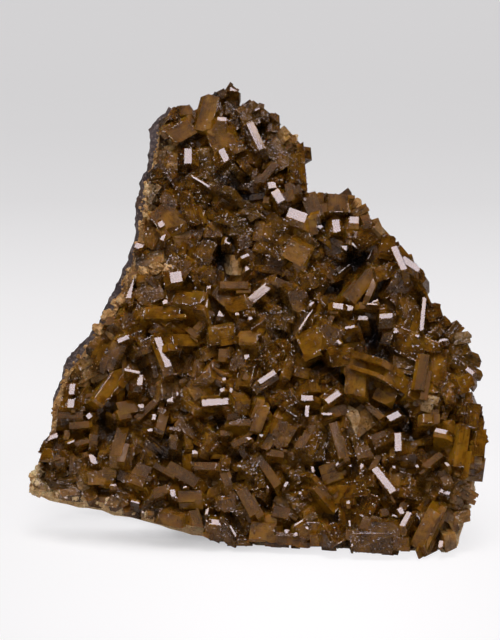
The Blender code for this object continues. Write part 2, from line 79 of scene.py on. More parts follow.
# The body's outline in picture steps, clockwise from the top.
bodyOutline = (
    (228, 90), (248, 103), (266, 117), (284, 130), (302, 150), (304, 172), (316, 194), (345, 196),
    (366, 214), (386, 236), (402, 256), (416, 276), (426, 298), (442, 318), (462, 338), (472, 362),
    (472, 388), (478, 412), (481, 436), (479, 462), (475, 490), (468, 512), (456, 538), (430, 551),
    (392, 553), (352, 550), (310, 546), (262, 543), (225, 543), (196, 529), (150, 519), (105, 508),
    (60, 499), (32, 490), (36, 458), (49, 428), (53, 402), (65, 370), (85, 346), (103, 321), (116, 295),
    (127, 268), (136, 240), (138, 212), (144, 184), (152, 158), (154, 134), (170, 112), (194, 105),
    (212, 98),
)
# Where the outline's sides begin or end: across, down, or both.
bounds = {"corner": (435, 495), "foot": (210, 500), "lowerLeft": 480, "left": 160,
          "shoulder": (175, 150), "top": 210, "bareVein": 165, "bareCrystals": 175, "plainOutset": 200,
          "topShadeLimit": 200}
# Deep places between the crystals: across, down, radius.
pits = (
    (222, 258, 10), (230, 182, 7), (355, 262, 12), (338, 288, 7), (289, 300, 6), (375, 333, 7),
    (373, 358, 6), (322, 365, 8), (345, 377, 5), (390, 347, 6), (409, 430, 7), (220, 418, 5),
    (165, 453, 8), (268, 434, 5), (109, 425, 6), (326, 225, 6), (272, 512, 6), (318, 476, 6),
)


def colour(red, green, blue):
    return (red, green, blue, 1)


# Places and outlines.

def wallY(x, z):
    return wall["front"] + wall["lean"] * z - wall["turn"] * x


def veinBack(x, z):
    return wallY(x, z) - wall["gap"]


def veinFront(x, z):
    return veinBack(x, z) - wall["vein"]


def rootY(x, z):
    return veinFront(x, z) - wall["gap"] - wall["root"]


def nearSpots(spots, across, down):
    # 1 in the middle of a spot, falling off around it.
    return max(math.exp(-((across - x) ** 2 + (down - y) ** 2) / radius ** 2) for x, y, radius in spots)


def nearPit(across, down, reach):
    return nearSpots([(x, y, reach * radius) for x, y, radius in pits], across, down)


def swell(across, down):
    # How far the crystals' field stands up: broad humps, sunk at the deep places.
    sideways, downwards, shift = wall["swellTurns"]
    hump = 0.5 + 0.5 * math.sin(across * sideways) * math.cos(down * downwards + shift)
    return wall["swell"] * hump * (1 - nearPit(across, down, wall["swellReach"]))


def sight(across, down):
    side = (across - picture["middle"][0]) * picture["step"] / picture["distance"]
    rise = (picture["middle"][1] - down) * picture["step"] / picture["distance"]
    return eyeForward + eyeRight * side + eyeUp * rise


def placeOn(surface, across, down):
    # Where the line of sight through one place of the picture meets a surface y = f(x, z).
    ray = sight(across, down)
    reach = picture["distance"]
    for _ in range(picture["looks"]):
        spot = eyePlace + ray * reach
        reach += (surface(spot.x, spot.z) - spot.y) / ray.y
    return eyePlace + ray * reach


def placeSeen(spot):
    # The place of the picture where a point of the model is seen.
    line = spot - eyePlace
    steps = picture["distance"] / picture["step"] / line.dot(eyeForward)
    return picture["middle"][0] + line.dot(eyeRight) * steps, picture["middle"][1] - line.dot(eyeUp) * steps


def sideOf(across, down):
    if across > bounds["corner"][0] and down > bounds["corner"][1]:
        return "corner"
    if across > bounds["foot"][0] and down > bounds["foot"][1]:
        return "foot"
    if across <= bounds["foot"][0] and down > bounds["lowerLeft"]:
        return "lowerLeft"
    if across < bounds["left"] or (across < bounds["shoulder"][0] and down < bounds["shoulder"][1]):
        return "left"
    return "top" if down < bounds["top"] else "right"


def insetOutline(insets, bare=0, shifts=()):
    # The outline moved inward by each side's own amount, anticlockwise seen from the front, and
    # further in by the bare amount where dark rock shows at the left edge. Each shift is a place, a
    # radius and an amount.
    moved = []
    for index, (across, down) in enumerate(bodyOutline):
        before = Vector(bodyOutline[index - 1])
        after = Vector(bodyOutline[(index + 1) % len(bodyOutline)])
        along = (after - before).normalized()
        inward = Vector((-along.y, along.x))
        inset = insets[sideOf(across, down)]
        if across < bounds["bareVein"]:
            inset += bare * nearSpots(darkSpots, across, down)
        for x, y, radius, amount in shifts:
            inset += amount * math.exp(-((across - x) ** 2 + (down - y) ** 2) / radius ** 2)
        moved.append(Vector((across, down)) + inward * inset)
    return moved[::-1]


def evenOutline(inset):
    return insetOutline(dict.fromkeys(rock["inset"], inset))


def finer(outline):
    points = []
    for index, start in enumerate(outline):
        points += [start, (start + outline[(index + 1) % len(outline)]) / 2]
    return points


def insideOutline(outline, across, down):
    inside = False
    for index, end in enumerate(outline):
        start = outline[index - 1]
        if (start.y > down) != (end.y > down):
            if across < start.x + (down - start.y) * (end.x - start.x) / (end.y - start.y):
                inside = not inside
    return inside


def capRings(outline, shares, surface):
    # Rings that fill an outline on a surface, from its middle outward.
    middle = Vector(picture["bodyMiddle"])
    rings = []
    for share in shares:
        spots = [middle + (Vector(point) - middle) * share for point in outline]
        rings.append([placeOn(surface, spot.x, spot.y) for spot in spots])
    return rings


def lump(rings):
    # A closed body lofted through rings of points, from the front pole to the back one.
    around = len(rings[1])
    levels = len(rings) - 1
    bm = bmesh.new()
    bmesh.ops.create_uvsphere(bm, u_segments=around, v_segments=levels, radius=1)
    for vert in bm.verts:
        level = round(math.acos(max(-1, min(1, vert.co.z))) / math.pi * levels)
        turn = round(math.atan2(vert.co.y, vert.co.x) / math.tau * around) % around
        ring = rings[level]
        vert.co = ring[turn % len(ring)]
    bmesh.ops.triangulate(bm, faces=bm.faces[:])
    bmesh.ops.recalc_face_normals(bm, faces=bm.faces[:])
    return bm


def wallPlane(inFront):
    point = Vector((0, wallY(0, 0) - inFront, 0))
    return point, Vector((-wall["turn"], -1, wall["lean"])).normalized()


def cutBody(bm, point, normal):
    # Take away what lies beyond a plane and close the cut with one face.
    geometry = bm.verts[:] + bm.edges[:] + bm.faces[:]
    cut = bmesh.ops.bisect_plane(bm, geom=geometry, plane_co=point, plane_no=normal, clear_outer=True)
    edges = [piece for piece in cut["geom_cut"] if isinstance(piece, bmesh.types.BMEdge)]
    if not edges:
        return []
    return bmesh.ops.contextual_create(bm, geom=edges)["faces"]


def joinInto(whole, part):
    mesh = bpy.data.meshes.new("part")
    part.to_mesh(mesh)
    part.free()
    whole.from_mesh(mesh)
    bpy.data.meshes.remove(mesh)


def addPiece(name, bm, material):
    mesh = bpy.data.meshes.new(name)
    bm.to_mesh(mesh)
    bm.free()
    piece = bpy.data.objects.new(name, mesh)
    bpy.context.scene.collection.objects.link(piece)
    mesh.materials.append(material)
    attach(piece, "root")
    print("made", name, "with", len(mesh.polygons), "faces")
    return piece


# Parts of a material.

def newMaterial(name):
    material = bpy.data.materials.new(name)
    material.use_nodes = True
    return material, material.node_tree, material.node_tree.nodes["Principled BSDF"]


def feed(tree, socket, value):
    # Set a socket to a value, or link it to another node's output.
    if isinstance(value, bpy.types.NodeSocket):
        tree.links.new(value, socket)
    elif value is not None:
        socket.default_value = value


def sums(tree, operation, first, second=None, clamp=False):
    node = tree.nodes.new("ShaderNodeMath")
    node.operation = operation
    node.use_clamp = clamp
    feed(tree, node.inputs[0], first)
    feed(tree, node.inputs[1], second)
    return node.outputs[0]


def vectorSums(tree, operation, first, second=None, scale=None):
    node = tree.nodes.new("ShaderNodeVectorMath")
    node.operation = operation
    feed(tree, node.inputs[0], first)
    feed(tree, node.inputs[1], second)
    feed(tree, node.inputs[3], scale)
    return node.outputs["Value" if operation == "LENGTH" else "Vector"]


def mixed(tree, factor, first, second, blend="MIX"):
    node = tree.nodes.new("ShaderNodeMix")
    node.data_type = "RGBA"
    node.blend_type = blend
    feed(tree, node.inputs["Factor"], factor)
    feed(tree, node.inputs[6], first)
    feed(tree, node.inputs[7], second)
    return node.outputs[2]


def noiseOf(tree, vector, scale, detail=3, roughness=0.5, output="Fac"):
    node = tree.nodes.new("ShaderNodeTexNoise")
    feed(tree, node.inputs["Vector"], vector)
    node.inputs["Scale"].default_value = scale
    node.inputs["Detail"].default_value = detail
    node.inputs["Roughness"].default_value = roughness
    return node.outputs[output]


def cellsOf(tree, vector, scale, output="Distance"):
    node = tree.nodes.new("ShaderNodeTexVoronoi")
    feed(tree, node.inputs["Vector"], vector)
    node.inputs["Scale"].default_value = scale
    return node.outputs[output]


def rangeOf(tree, value, low, high, toLow=0.0, toHigh=1.0):
    node = tree.nodes.new("ShaderNodeMapRange")
    feed(tree, node.inputs["Value"], value)
    for name, number in (("From Min", low), ("From Max", high), ("To Min", toLow), ("To Max", toHigh)):
        node.inputs[name].default_value = number
    return node.outputs["Result"]


def rampOf(tree, value, stops):
    node = tree.nodes.new("ShaderNodeValToRGB")
    feed(tree, node.inputs["Fac"], value)
    ramp = node.color_ramp
    while len(ramp.elements) < len(stops):
        ramp.elements.new(0.5)
    for element, (place, shade) in zip(ramp.elements, stops):
        element.position = place
        element.color = shade
    return node.outputs["Color"]


def bumpOf(tree, height, distance, strength):
    node = tree.nodes.new("ShaderNodeBump")
    node.inputs["Strength"].default_value = strength
    node.inputs["Distance"].default_value = distance
    feed(tree, node.inputs["Height"], height)
    return node.outputs["Normal"]


def objectPlace(tree):
    return tree.nodes.new("ShaderNodeTexCoord").outputs["Object"]


def uvOf(tree, name):
    node = tree.nodes.new("ShaderNodeUVMap")
    node.uv_map = name
    return node.outputs["UV"]


# The rock. The shifts of its outline are a place, a radius and an amount inward, to follow the left edge.
rock = {"inset": {"left": -2.5, "lowerLeft": 8, "foot": -14, "corner": 3, "right": 15, "top": 12},
        "footDepth": 0.050, "leastDepth": 0.020, "lumps": ((0.026, 0.0040), (0.009, 0.0014)),
        "sides": ((1, 0.14), (1, 0.3), (0.99, 0.5), (0.97, 0.7), (0.94, 0.88), (0.88, 1.0)),
        "back": (0.88, 0.76, 0.64, 0.52, 0.40, 0.28, 0.14), "backMiddle": Vector((-0.015, 0.028, 0.060)),
        "share": 0.23, "fine": ((0.0045, 0.0014), (0.0016, 0.0007), (0.0007, 0.00025)), "fineSunk": 0.4,
        "faceRings": (0, 0.5, 1), "cuts": (3, 1), "coarse": (75, 5, 0.6), "grains": (700, 4, 0.7),
        "stains": (140, 3), "specks": 620, "greyBand": (0.35, 0.65), "rustBand": (0.56, 0.70),
        "dustBand": (0.50, 0.66, 0.0, 0.7), "speckBand": (0.08, 0.24, 0.9, 0.0),
        "roughBand": (0.3, 0.7, 0.78, 0.52), "speckBump": 0.5, "bump": (0.0006, 0.9),
        "dark": colour(0.030, 0.024, 0.026), "grey": colour(0.105, 0.087, 0.086),
        "rust": colour(0.085, 0.048, 0.028), "dust": colour(0.36, 0.30, 0.26),
        "shifts": ((138, 212, 26, 6), (152, 142, 15, -11), (75, 351, 14, 7), (57, 394, 10, -8))}


def rough(point):
    return sum((noise.noise_vector(point / spacing) * height for spacing, height in rock["lumps"]), Vector())


def roughen(bm, octaves):
    # Small broken unevenness along each point's own normal.
    bm.normal_update()
    shifts = {}
    for vert in bm.verts:
        shift = sum(noise.noise(vert.co / spacing) * height for spacing, height in octaves)
        shifts[vert] = vert.normal * (shift - rock["fineSunk"] * sum(height for spacing, height in octaves))
    for vert, shift in shifts.items():
        vert.co += shift


def rockMaterial():
    material, tree, shader = newMaterial("darkHostRock")
    place = objectPlace(tree)
    coarse = noiseOf(tree, place, *rock["coarse"])
    grains = noiseOf(tree, place, *rock["grains"])
    specks = cellsOf(tree, place, rock["specks"])
    stains = noiseOf(tree, place, *rock["stains"])
    base = mixed(tree, rangeOf(tree, coarse, *rock["greyBand"]), rock["dark"], rock["grey"])
    base = mixed(tree, rangeOf(tree, stains, *rock["rustBand"]), base, rock["rust"])
    base = mixed(tree, rangeOf(tree, grains, *rock["dustBand"]), base, rock["dust"])
    base = mixed(tree, rangeOf(tree, specks, *rock["speckBand"]), base, rock["dust"])
    feed(tree, shader.inputs["Base Color"], base)
    feed(tree, shader.inputs["Roughness"], rangeOf(tree, coarse, *rock["roughBand"]))
    fine = sums(tree, "ADD", grains, sums(tree, "MULTIPLY", specks, rock["speckBump"]))
    feed(tree, shader.inputs["Normal"], bumpOf(tree, fine, *rock["bump"]))
    return material


def makeRock():
    outline = finer(insetOutline(rock["inset"], 0, rock["shifts"]))
    rings = capRings(outline, rock["faceRings"], veinFront)
    rim = rings[-1]
    for share, depthShare in rock["sides"]:
        ring = []
        for start in rim:
            back = max(rock["footDepth"] / 2, start.y + rock["leastDepth"])
            spot = Vector((start.x * share, start.y + (back - start.y) * depthShare, start.z * share))
            ring.append(spot + rough(spot))
        rings.append(ring)
    edge = rings[-1]
    for share in rock["back"]:
        spots = [rock["backMiddle"].lerp(start, share) for start in edge]
        rings.append([spot + rough(spot) for spot in spots])
    bm = lump(rings + [[rock["backMiddle"]]])
    mesh = bpy.data.meshes.new("fineRock")
    bm.to_mesh(mesh)
    bm.free()
    whole = bpy.data.objects.new("fineRock", mesh)
    bpy.context.scene.collection.objects.link(whole)
    facets = whole.modifiers.new("facets", "DECIMATE")
    facets.ratio = rock["share"]
    bpy.context.view_layer.update()
    made = whole.evaluated_get(bpy.context.evaluated_depsgraph_get())
    bm = bmesh.new()
    bm.from_mesh(made.to_mesh())
    bpy.data.objects.remove(whole, do_unlink=True)
    # The broken facets get their grain before the rock's face and its foot are cut flat.
    for cuts in rock["cuts"]:
        bmesh.ops.subdivide_edges(bm, edges=bm.edges[:], cuts=cuts, use_grid_fill=True)
    bmesh.ops.triangulate(bm, faces=bm.faces[:])
    roughen(bm, rock["fine"])
    cutBody(bm, *wallPlane(0))
    cutBody(bm, Vector((0, 0, 0)), Vector((0, 0, -1)))
    bmesh.ops.recalc_face_normals(bm, faces=bm.faces[:])
    piece = addPiece("rockMass", bm, rockMaterial())
    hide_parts("host_rock")


# The pale vein layer, with the lumps of it that stand out between the crystals.
vein = {"inset": {"left": 3, "lowerLeft": -3, "foot": 1, "corner": 0, "right": 9, "top": 8}, "bare": 3,
        "rimRoughness": 0.0018, "fine": ((0.0032, 0.0007), (0.0012, 0.0004)),
        "cream": colour(0.76, 0.50, 0.21), "ochre": colour(0.45, 0.25, 0.065),
        "brown": colour(0.12, 0.058, 0.016), "white": colour(1.0, 0.79, 0.45),
        "stops": ((0.28, "brown"), (0.42, "ochre"), (0.55, "cream"), (0.72, "white")),
        "clouds": (190, 5, 0.6), "specks": (900, 4, 0.7), "grains": 1100,
        "grainShade": (0.0, 0.6, 0.6, 1.1), "grainShare": 0.5, "speckBand": (0.62, 0.70),
        "roughBand": (0.3, 0.7, 0.30, 0.62), "grainBump": 0.6, "bump": (0.0005, 0.9),
        "lowBand": (0.028, 0.045), "paintedFloorLight": 0.19, "flow": 0.0008, "flowRatio": (1.0, 0.7, 0.4),
        "flowWeight": 0.25, "rings": (0, 0.7, 1), "cuts": 3}
# The lumps: how far they may stand past the outline, how large and how long against their radius, how
# uneven, and how near a dark place they may lie.
lumpShape = {"proud": 1.6, "size": (0.9, 1.15), "wide": (0.9, 1.35), "high": (0.7, 1), "step": 0.0005,
             "fineAbove": (3, 6), "bumps": ((1.3, 0.45), (3.2, 0.24), (8, 0.15)), "mostDark": 0.6,
             "outerRise": (0.3, 8)}
# The crust of small lumps along the layer's open edges: how far in, how large, how far in front.
crust = {"left": {"inset": (1, 12), "radius": (0.8, 2.8), "rise": (2, 9), "every": 1.3},
         "lowerLeft": {"inset": (0, 9), "radius": (1.8, 5.2), "rise": (6, 18), "every": 1.1},
         "corner": {"inset": (0, 12), "radius": (1.8, 4.4), "rise": (4, 11), "every": 2.6}}
# Where cream lumps show: across, down, radius, how far they stand in front of the layer.
veinLumps = (
    (168, 146, 8, 8), (175, 138, 6, 9), (151, 190, 8, 5), (158, 201, 6, 5), (150, 218, 5, 3),
    (148, 232, 5, 3), (145, 246, 5, 3), (146, 270, 8, 16), (157, 266, 7, 19), (168, 271, 5, 19),
    (130, 280, 6, 2), (100, 330, 6, 4), (85, 372, 9, 4), (92, 366, 7, 6), (40, 488, 9, 2),
    (34, 476, 7, 2), (60, 490, 8, 3), (84, 495, 8, 3), (452, 538, 7, 2), (462, 508, 5, 3),
    (445, 548, 6, 2), (291, 139, 5, 5), (355, 206, 6, 5), (374, 226, 5, 4), (472, 458, 6, 4),
    (184, 112, 5, 4), (122, 300, 6, 3), (108, 316, 6, 3),
)


def trim(bm):
    # Keep a piece in front of the vein layer and above the foot.
    point, normal = wallPlane(2 * wall["gap"] + wall["vein"])
    cutBody(bm, point, -normal)
    cutBody(bm, Vector((0, 0, wall["aboveFoot"])), Vector((0, 0, -1)))
    bmesh.ops.recalc_face_normals(bm, faces=bm.faces[:])


def veinMaterial():
    material, tree, shader = newMaterial("creamVein")
    place = objectPlace(tree)
    clouds = noiseOf(tree, place, *vein["clouds"])
    cells = cellsOf(tree, place, vein["grains"])
    specks = noiseOf(tree, place, *vein["specks"])
    # Paler near the foot: painted light, as from the bright floor below.
    low = tree.nodes.new("ShaderNodeSeparateXYZ")
    feed(tree, low.inputs[0], place)
    lift = rangeOf(tree, low.outputs["Z"], *vein["lowBand"], vein["paintedFloorLight"], 0.0)
    base = rampOf(tree, sums(tree, "ADD", clouds, lift), [(at, vein[name]) for at, name in vein["stops"]])
    base = mixed(tree, vein["grainShare"], base, rangeOf(tree, cells, *vein["grainShade"]), "MULTIPLY")
    base = mixed(tree, rangeOf(tree, specks, *vein["speckBand"]), base, vein["brown"])
    feed(tree, shader.inputs["Base Color"], base)
    feed(tree, shader.inputs["Roughness"], rangeOf(tree, specks, *vein["roughBand"]))
    shader.inputs["Subsurface Weight"].default_value = vein["flowWeight"]
    shader.inputs["Subsurface Scale"].default_value = vein["flow"]
    shader.inputs["Subsurface Radius"].default_value = vein["flowRatio"]
    height = sums(tree, "ADD", specks, sums(tree, "MULTIPLY", cells, vein["grainBump"]))
    feed(tree, shader.inputs["Normal"], bumpOf(tree, height, *vein["bump"]))
    return material


def makeVein():
    outline = insetOutline(vein["inset"], vein["bare"])
    rings = capRings(outline, vein["rings"], rootY)
    rim = []
    for spot in capRings(outline, (1,), veinFront)[0]:
        outward = Vector((spot.x - rock["backMiddle"].x, 0, spot.z - rock["backMiddle"].z)).normalized()
        rim.append(spot + outward * dice.uniform(0, vein["rimRoughness"]))
    rings.append(rim)
    rings += capRings(outline, vein["rings"][::-1], wallY)
    bm = lump(rings)
    bmesh.ops.subdivide_edges(bm, edges=bm.edges[:], cuts=vein["cuts"], use_grid_fill=True)
    bmesh.ops.triangulate(bm, faces=bm.faces[:])
    roughen(bm, vein["fine"])
    for vert in bm.verts:
        vert.co.x = max(vert.co.x, cadBox[0][0] + growth["boxRoom"])
    point, normal = wallPlane(wall["gap"])
    cutBody(bm, point, -normal)
    cutBody(bm, *wallPlane(wall["gap"] + wall["vein"]))
    cutBody(bm, Vector((0, 0, wall["aboveFoot"])), Vector((0, 0, -1)))
    bmesh.ops.recalc_face_normals(bm, faces=bm.faces[:])
    material = veinMaterial()
    piece = addPiece("veinLayer", bm, material)
    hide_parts("pale_seam")
    return material


def makeVeinLumps(material):
    # Cream lumps where the picture shows them, and a crust of small ones along the open edges.
    grown = bmesh.new()
    lumps = list(veinLumps)
    for index, end in enumerate(bodyOutline):
        start, end = Vector(bodyOutline[index - 1]), Vector(end)
        family = crust.get(sideOf(*((start + end) / 2)))
        if not family:
            continue
        along = (end - start).normalized()
        inward = Vector((-along.y, along.x))
        for _ in range(round((end - start).length / family["every"])):
            radius = wild.uniform(*family["radius"])
            inset = max(radius - lumpShape["proud"], wild.uniform(*family["inset"]))
            spot = start.lerp(end, wild.random()) + inward * inset
            if nearSpots(darkSpots, *spot) < lumpShape["mostDark"]:
                least, fullInset = lumpShape["outerRise"]
                rise = wild.uniform(*family["rise"]) * min(1, least + inset / fullInset)
                lumps.append((*spot, radius, rise))
    for across, down, radius, rise in lumps:
        spot = placeOn(lambda x, z: veinFront(x, z) - rise * lumpShape["step"], across, down)
        size = radius * picture["step"] * wild.uniform(*lumpShape["size"])
        part = bmesh.new()
        levels = 2 + sum(radius > least for least in lumpShape["fineAbove"])
        bmesh.ops.create_icosphere(part, subdivisions=levels, radius=1)
        shift = Vector((across, down, 0))
        for vert in part.verts:
            vert.co *= 1 + sum(height * noise.noise(vert.co * often + shift)
                               for often, height in lumpShape["bumps"])
        stretch = (size * wild.uniform(*lumpShape["wide"]), size, size * wild.uniform(*lumpShape["high"]))
        bmesh.ops.scale(part, vec=stretch, verts=part.verts)
        spin = Matrix.Rotation(wild.uniform(0, math.pi), 3, "Y")
        bmesh.ops.rotate(part, cent=(0, 0, 0), matrix=spin, verts=part.verts)
        bmesh.ops.translate(part, vec=spot, verts=part.verts)
        keptInBox(part)
        trim(part)
        joinInto(grown, part)
    addPiece("veinLumps", grown, material)


# The crystals' faces, read from the picture: across, down, long side, short side, turn in degrees.
brightFaces = (
    (222, 119, 10, 5, -5), (224, 155, 14, 7, -65), (188, 156, 16, 8, 90), (278, 196, 14, 9, -60),
    (297, 215, 20, 11, -20), (336, 224, 17, 8, -82), (354, 220, 10, 8, 0), (399, 258, 26, 7, -67),
    (411, 264, 21, 7, -35), (130, 288, 21, 6, 82), (163, 352, 32, 7, -68), (140, 380, 11, 6, 85),
    (123, 339, 12, 5, 25), (176, 277, 12, 12, 10), (267, 377, 20, 6, 33), (215, 402, 27, 8, 4),
    (338, 306, 11, 7, -8), (386, 316, 14, 6, 4), (333, 397, 17, 7, 35), (307, 398, 12, 6, 0),
    (394, 416, 13, 7, 25), (398, 442, 18, 7, 90), (441, 431, 12, 5, -12), (384, 480, 30, 8, -52),
    (406, 520, 16, 6, 60), (72, 389, 11, 6, 85), (71, 402, 11, 7, 85), (52, 437, 12, 5, 20),
)
dullFaces = (
    (256, 136, 30, 8, -65), (268, 172, 25, 8, 52), (293, 188, 16, 14, 20), (312, 205, 25, 16, -70),
    (353, 231, 15, 9, 80), (234, 285, 28, 8, 0), (262, 291, 30, 9, 40), (283, 284, 18, 8, -25),
    (204, 320, 24, 7, 47), (193, 333, 12, 6, -40), (247, 374, 12, 6, 65), (333, 315, 12, 5, 65),
    (366, 306, 13, 6, -3), (372, 287, 20, 6, 65), (66, 414, 34, 9, 0), (94, 433, 16, 8, 88),
    (82, 442, 14, 6, 18), (119, 441, 28, 12, 75), (120, 417, 16, 6, -25), (127, 407, 18, 14, 10),
    (146, 410, 26, 7, 42), (163, 418, 22, 10, 75), (173, 442, 14, 7, 90), (142, 470, 16, 14, -20),
    (182, 474, 34, 13, -28), (160, 491, 14, 9, 20), (205, 466, 22, 9, 0), (226, 478, 16, 9, -70),
    (240, 422, 22, 8, 0), (241, 441, 20, 6, 28), (275, 453, 18, 8, -8), (268, 471, 34, 9, -55),
    (248, 501, 28, 12, -60), (306, 436, 26, 8, 60), (338, 440, 36, 9, -75), (374, 411, 20, 6, -42),
    (382, 434, 24, 7, 22), (363, 452, 15, 14, 10), (422, 372, 36, 10, 80), (433, 460, 22, 7, 35),
    (366, 527, 24, 14, 65), (197, 521, 22, 10, -72), (190, 495, 24, 9, 0), (281, 512, 16, 12, -10),
)
bodyFaces = (
    (207, 113, 38, 16, 75), (222, 140, 25, 20, 20), (182, 132, 24, 18, 30), (167, 218, 30, 26, -50),
    (187, 206, 32, 14, -75), (306, 228, 22, 18, 10), (296, 253, 24, 22, -30), (338, 200, 24, 20, 90),
    (365, 236, 24, 20, 30), (388, 245, 20, 14, 80), (362, 285, 40, 14, 52), (388, 273, 24, 10, 20),
    (99, 357, 28, 9, 68), (112, 356, 30, 11, 68), (162, 312, 36, 13, 3), (111, 385, 40, 13, 56),
    (188, 298, 28, 16, -8), (185, 340, 24, 12, 0), (222, 336, 26, 16, 10), (248, 338, 18, 9, 0),
    (236, 304, 22, 16, 15), (304, 303, 26, 14, -70), (312, 342, 26, 22, 25), (330, 335, 22, 20, -20),
    (343, 357, 26, 18, 6), (355, 377, 34, 20, 85), (384, 395, 20, 16, -25), (401, 384, 36, 13, -32),
    (408, 346, 34, 22, -20), (387, 335, 20, 11, 75), (437, 371, 42, 20, 88), (451, 430, 20, 8, 88),
    (430, 418, 14, 10, 0), (464, 446, 42, 9, 82), (472, 415, 24, 16, 80), (466, 382, 16, 14, 20),
    (242, 410, 16, 14, 0), (260, 419, 28, 12, 70), (282, 435, 26, 22, 60), (338, 411, 20, 11, 15),
    (245, 376, 20, 16, 80), (226, 464, 12, 9, 80), (327, 498, 32, 10, -50), (355, 489, 22, 16, 10),
    (101, 478, 24, 14, 0), (46, 454, 14, 12, 0), (368, 506, 24, 16, 65), (214, 533, 16, 13, 85),
    (226, 534, 22, 12, -55), (425, 529, 42, 14, 65), (308, 152, 16, 14, 30), (301, 168, 30, 12, 88),
    (428, 291, 24, 9, -60), (482, 443, 26, 14, 85), (170, 521, 22, 14, -5), (262, 531, 24, 18, -3),
    (310, 530, 24, 18, 30), (228, 505, 16, 14, 10), (336, 533, 20, 14, -60), (400, 545, 14, 14, 0),
    (372, 545, 40, 24, 0),
)
broadFaces = (
    (212, 168, 38, 25, -20), (255, 115, 22, 18, 25), (275, 150, 20, 18, -40), (240, 228, 20, 16, 10),
    (277, 318, 22, 20, 75), (318, 446, 28, 18, 80), (302, 473, 16, 12, 40), (405, 365, 24, 16, -10),
    (466, 360, 26, 18, -30), (290, 503, 26, 16, -35), (60, 485, 28, 12, -10), (240, 512, 18, 16, 20),
    (310, 242, 22, 8, -45), (150, 267, 30, 18, 10), (85, 372, 24, 16, 30), (147, 190, 16, 14, 60),
    (453, 400, 22, 14, -70), (330, 470, 22, 16, 20), (420, 490, 24, 16, -20), (205, 250, 20, 16, 60),
    (150, 345, 20, 14, 20), (215, 375, 20, 14, -30), (285, 400, 22, 16, 30), (150, 450, 20, 16, -40),
)
# Teeth of the outline: across, down, and the corner's outward direction in degrees.
edgeTeeth = (
    (230, 83, 90), (250, 99, 70), (264, 104, 50), (279, 113, 60), (297, 134, 60), (314, 148, 25),
    (323, 193, 60), (348, 188, 70), (365, 204, 60), (378, 218, 50), (396, 237, 50), (412, 254, 45),
    (426, 273, 20), (441, 303, 50), (457, 321, 80), (471, 331, 40), (484, 357, 10), (474, 378, -10),
    (483, 407, 30), (484, 421, -20), (490, 442, 0), (482, 469, -10), (479, 495, 0), (473, 521, -20),
    (457, 550, -50), (393, 557, -60), (352, 556, -110), (300, 547, -90), (239, 547, -60),
    (208, 544, -120), (181, 527, -90), (112, 515, -90), (66, 505, -110), (28, 487, 180), (31, 446, 160),
    (52, 404, 170), (67, 364, 140), (87, 341, 140), (104, 315, 140), (145, 172, 160), (150, 140, 170),
    (176, 105, 110), (200, 101, 100), (214, 91, 100),
)
# Smaller faces that only the scene has.
glints = (
    (235, 89, 10, 5, -10), (293, 165, 5, 5, 0), (272, 185, 8, 7, 10), (316, 223, 15, 4, -40),
    (344, 248, 6, 5, 0), (356, 246, 12, 3, -35), (132, 371, 16, 3, -12), (165, 302, 5, 4, 20),
    (161, 224, 6, 6, 30), (163, 237, 7, 4, 70), (139, 246, 8, 6, -20), (209, 287, 4, 3, 0),
    (207, 297, 22, 2, 87), (226, 240, 8, 2, 80), (228, 243, 5, 2, -20), (245, 256, 8, 3, 25),
    (245, 269, 7, 5, 35), (222, 314, 8, 6, -15), (237, 314, 4, 3, 0), (250, 318, 4, 4, 30),
    (198, 336, 6, 5, 15), (247, 357, 5, 5, 10), (224, 379, 4, 3, 0), (222, 390, 4, 4, 20),
    (231, 391, 6, 3, 90), (170, 399, 6, 6, 0), (176, 394, 5, 4, 30), (296, 300, 25, 2, -62),
    (312, 303, 7, 3, 45), (306, 319, 25, 2, 57), (349, 308, 8, 6, -15), (350, 327, 10, 3, 10),
    (339, 342, 5, 3, -50), (375, 301, 7, 2, 20), (373, 304, 12, 2, -3), (307, 411, 11, 4, 85),
    (326, 414, 12, 3, 0), (395, 330, 6, 5, -60), (423, 314, 34, 4, 83), (419, 336, 8, 3, 0),
    (470, 371, 9, 4, -40), (443, 340, 10, 3, 15), (373, 481, 6, 5, -35), (361, 467, 7, 3, 65),
    (361, 473, 3, 2, 0), (349, 466, 4, 2, 0), (445, 492, 10, 4, -18), (401, 511, 7, 5, -60),
    (396, 516, 8, 2, -10), (398, 535, 7, 2, 85), (397, 543, 5, 3, 80), (348, 502, 4, 4, 0),
    (91, 414, 10, 5, 45), (71, 442, 8, 2, 25), (93, 459, 10, 6, -70), (113, 485, 7, 2, 3),
    (64, 497, 5, 4, -45), (135, 502, 9, 2, -15), (143, 512, 3, 2, 0), (141, 406, 6, 4, 0),
    (154, 417, 6, 4, 80), (150, 430, 5, 3, 10), (195, 452, 6, 4, 0), (173, 493, 7, 5, -75),
    (176, 497, 3, 2, 0), (185, 487, 4, 2, 10), (207, 511, 7, 3, 80), (223, 497, 4, 2, 10),
    (287, 531, 5, 4, 30), (294, 534, 7, 4, 0), (307, 528, 3, 3, 0), (313, 470, 7, 3, -75),
    (286, 484, 6, 3, 60), (249, 438, 4, 4, 20), (262, 436, 6, 4, 0), (346, 398, 5, 2, -40),
    (300, 493, 3, 3, 0), (268, 487, 3, 3, 0), (458, 472, 6, 3, -15), (447, 464, 5, 3, -50),
    (441, 545, 7, 4, 80), (394, 467, 3, 3, 0), (417, 466, 3, 3, 20), (300, 522, 14, 2, 30),
    (351, 535, 25, 2, -85), (340, 462, 12, 2, 35), (240, 466, 3, 2, 0), (262, 107, 16, 2, 25),
    (200, 181, 22, 2, -32), (233, 531, 12, 2, -60),
)
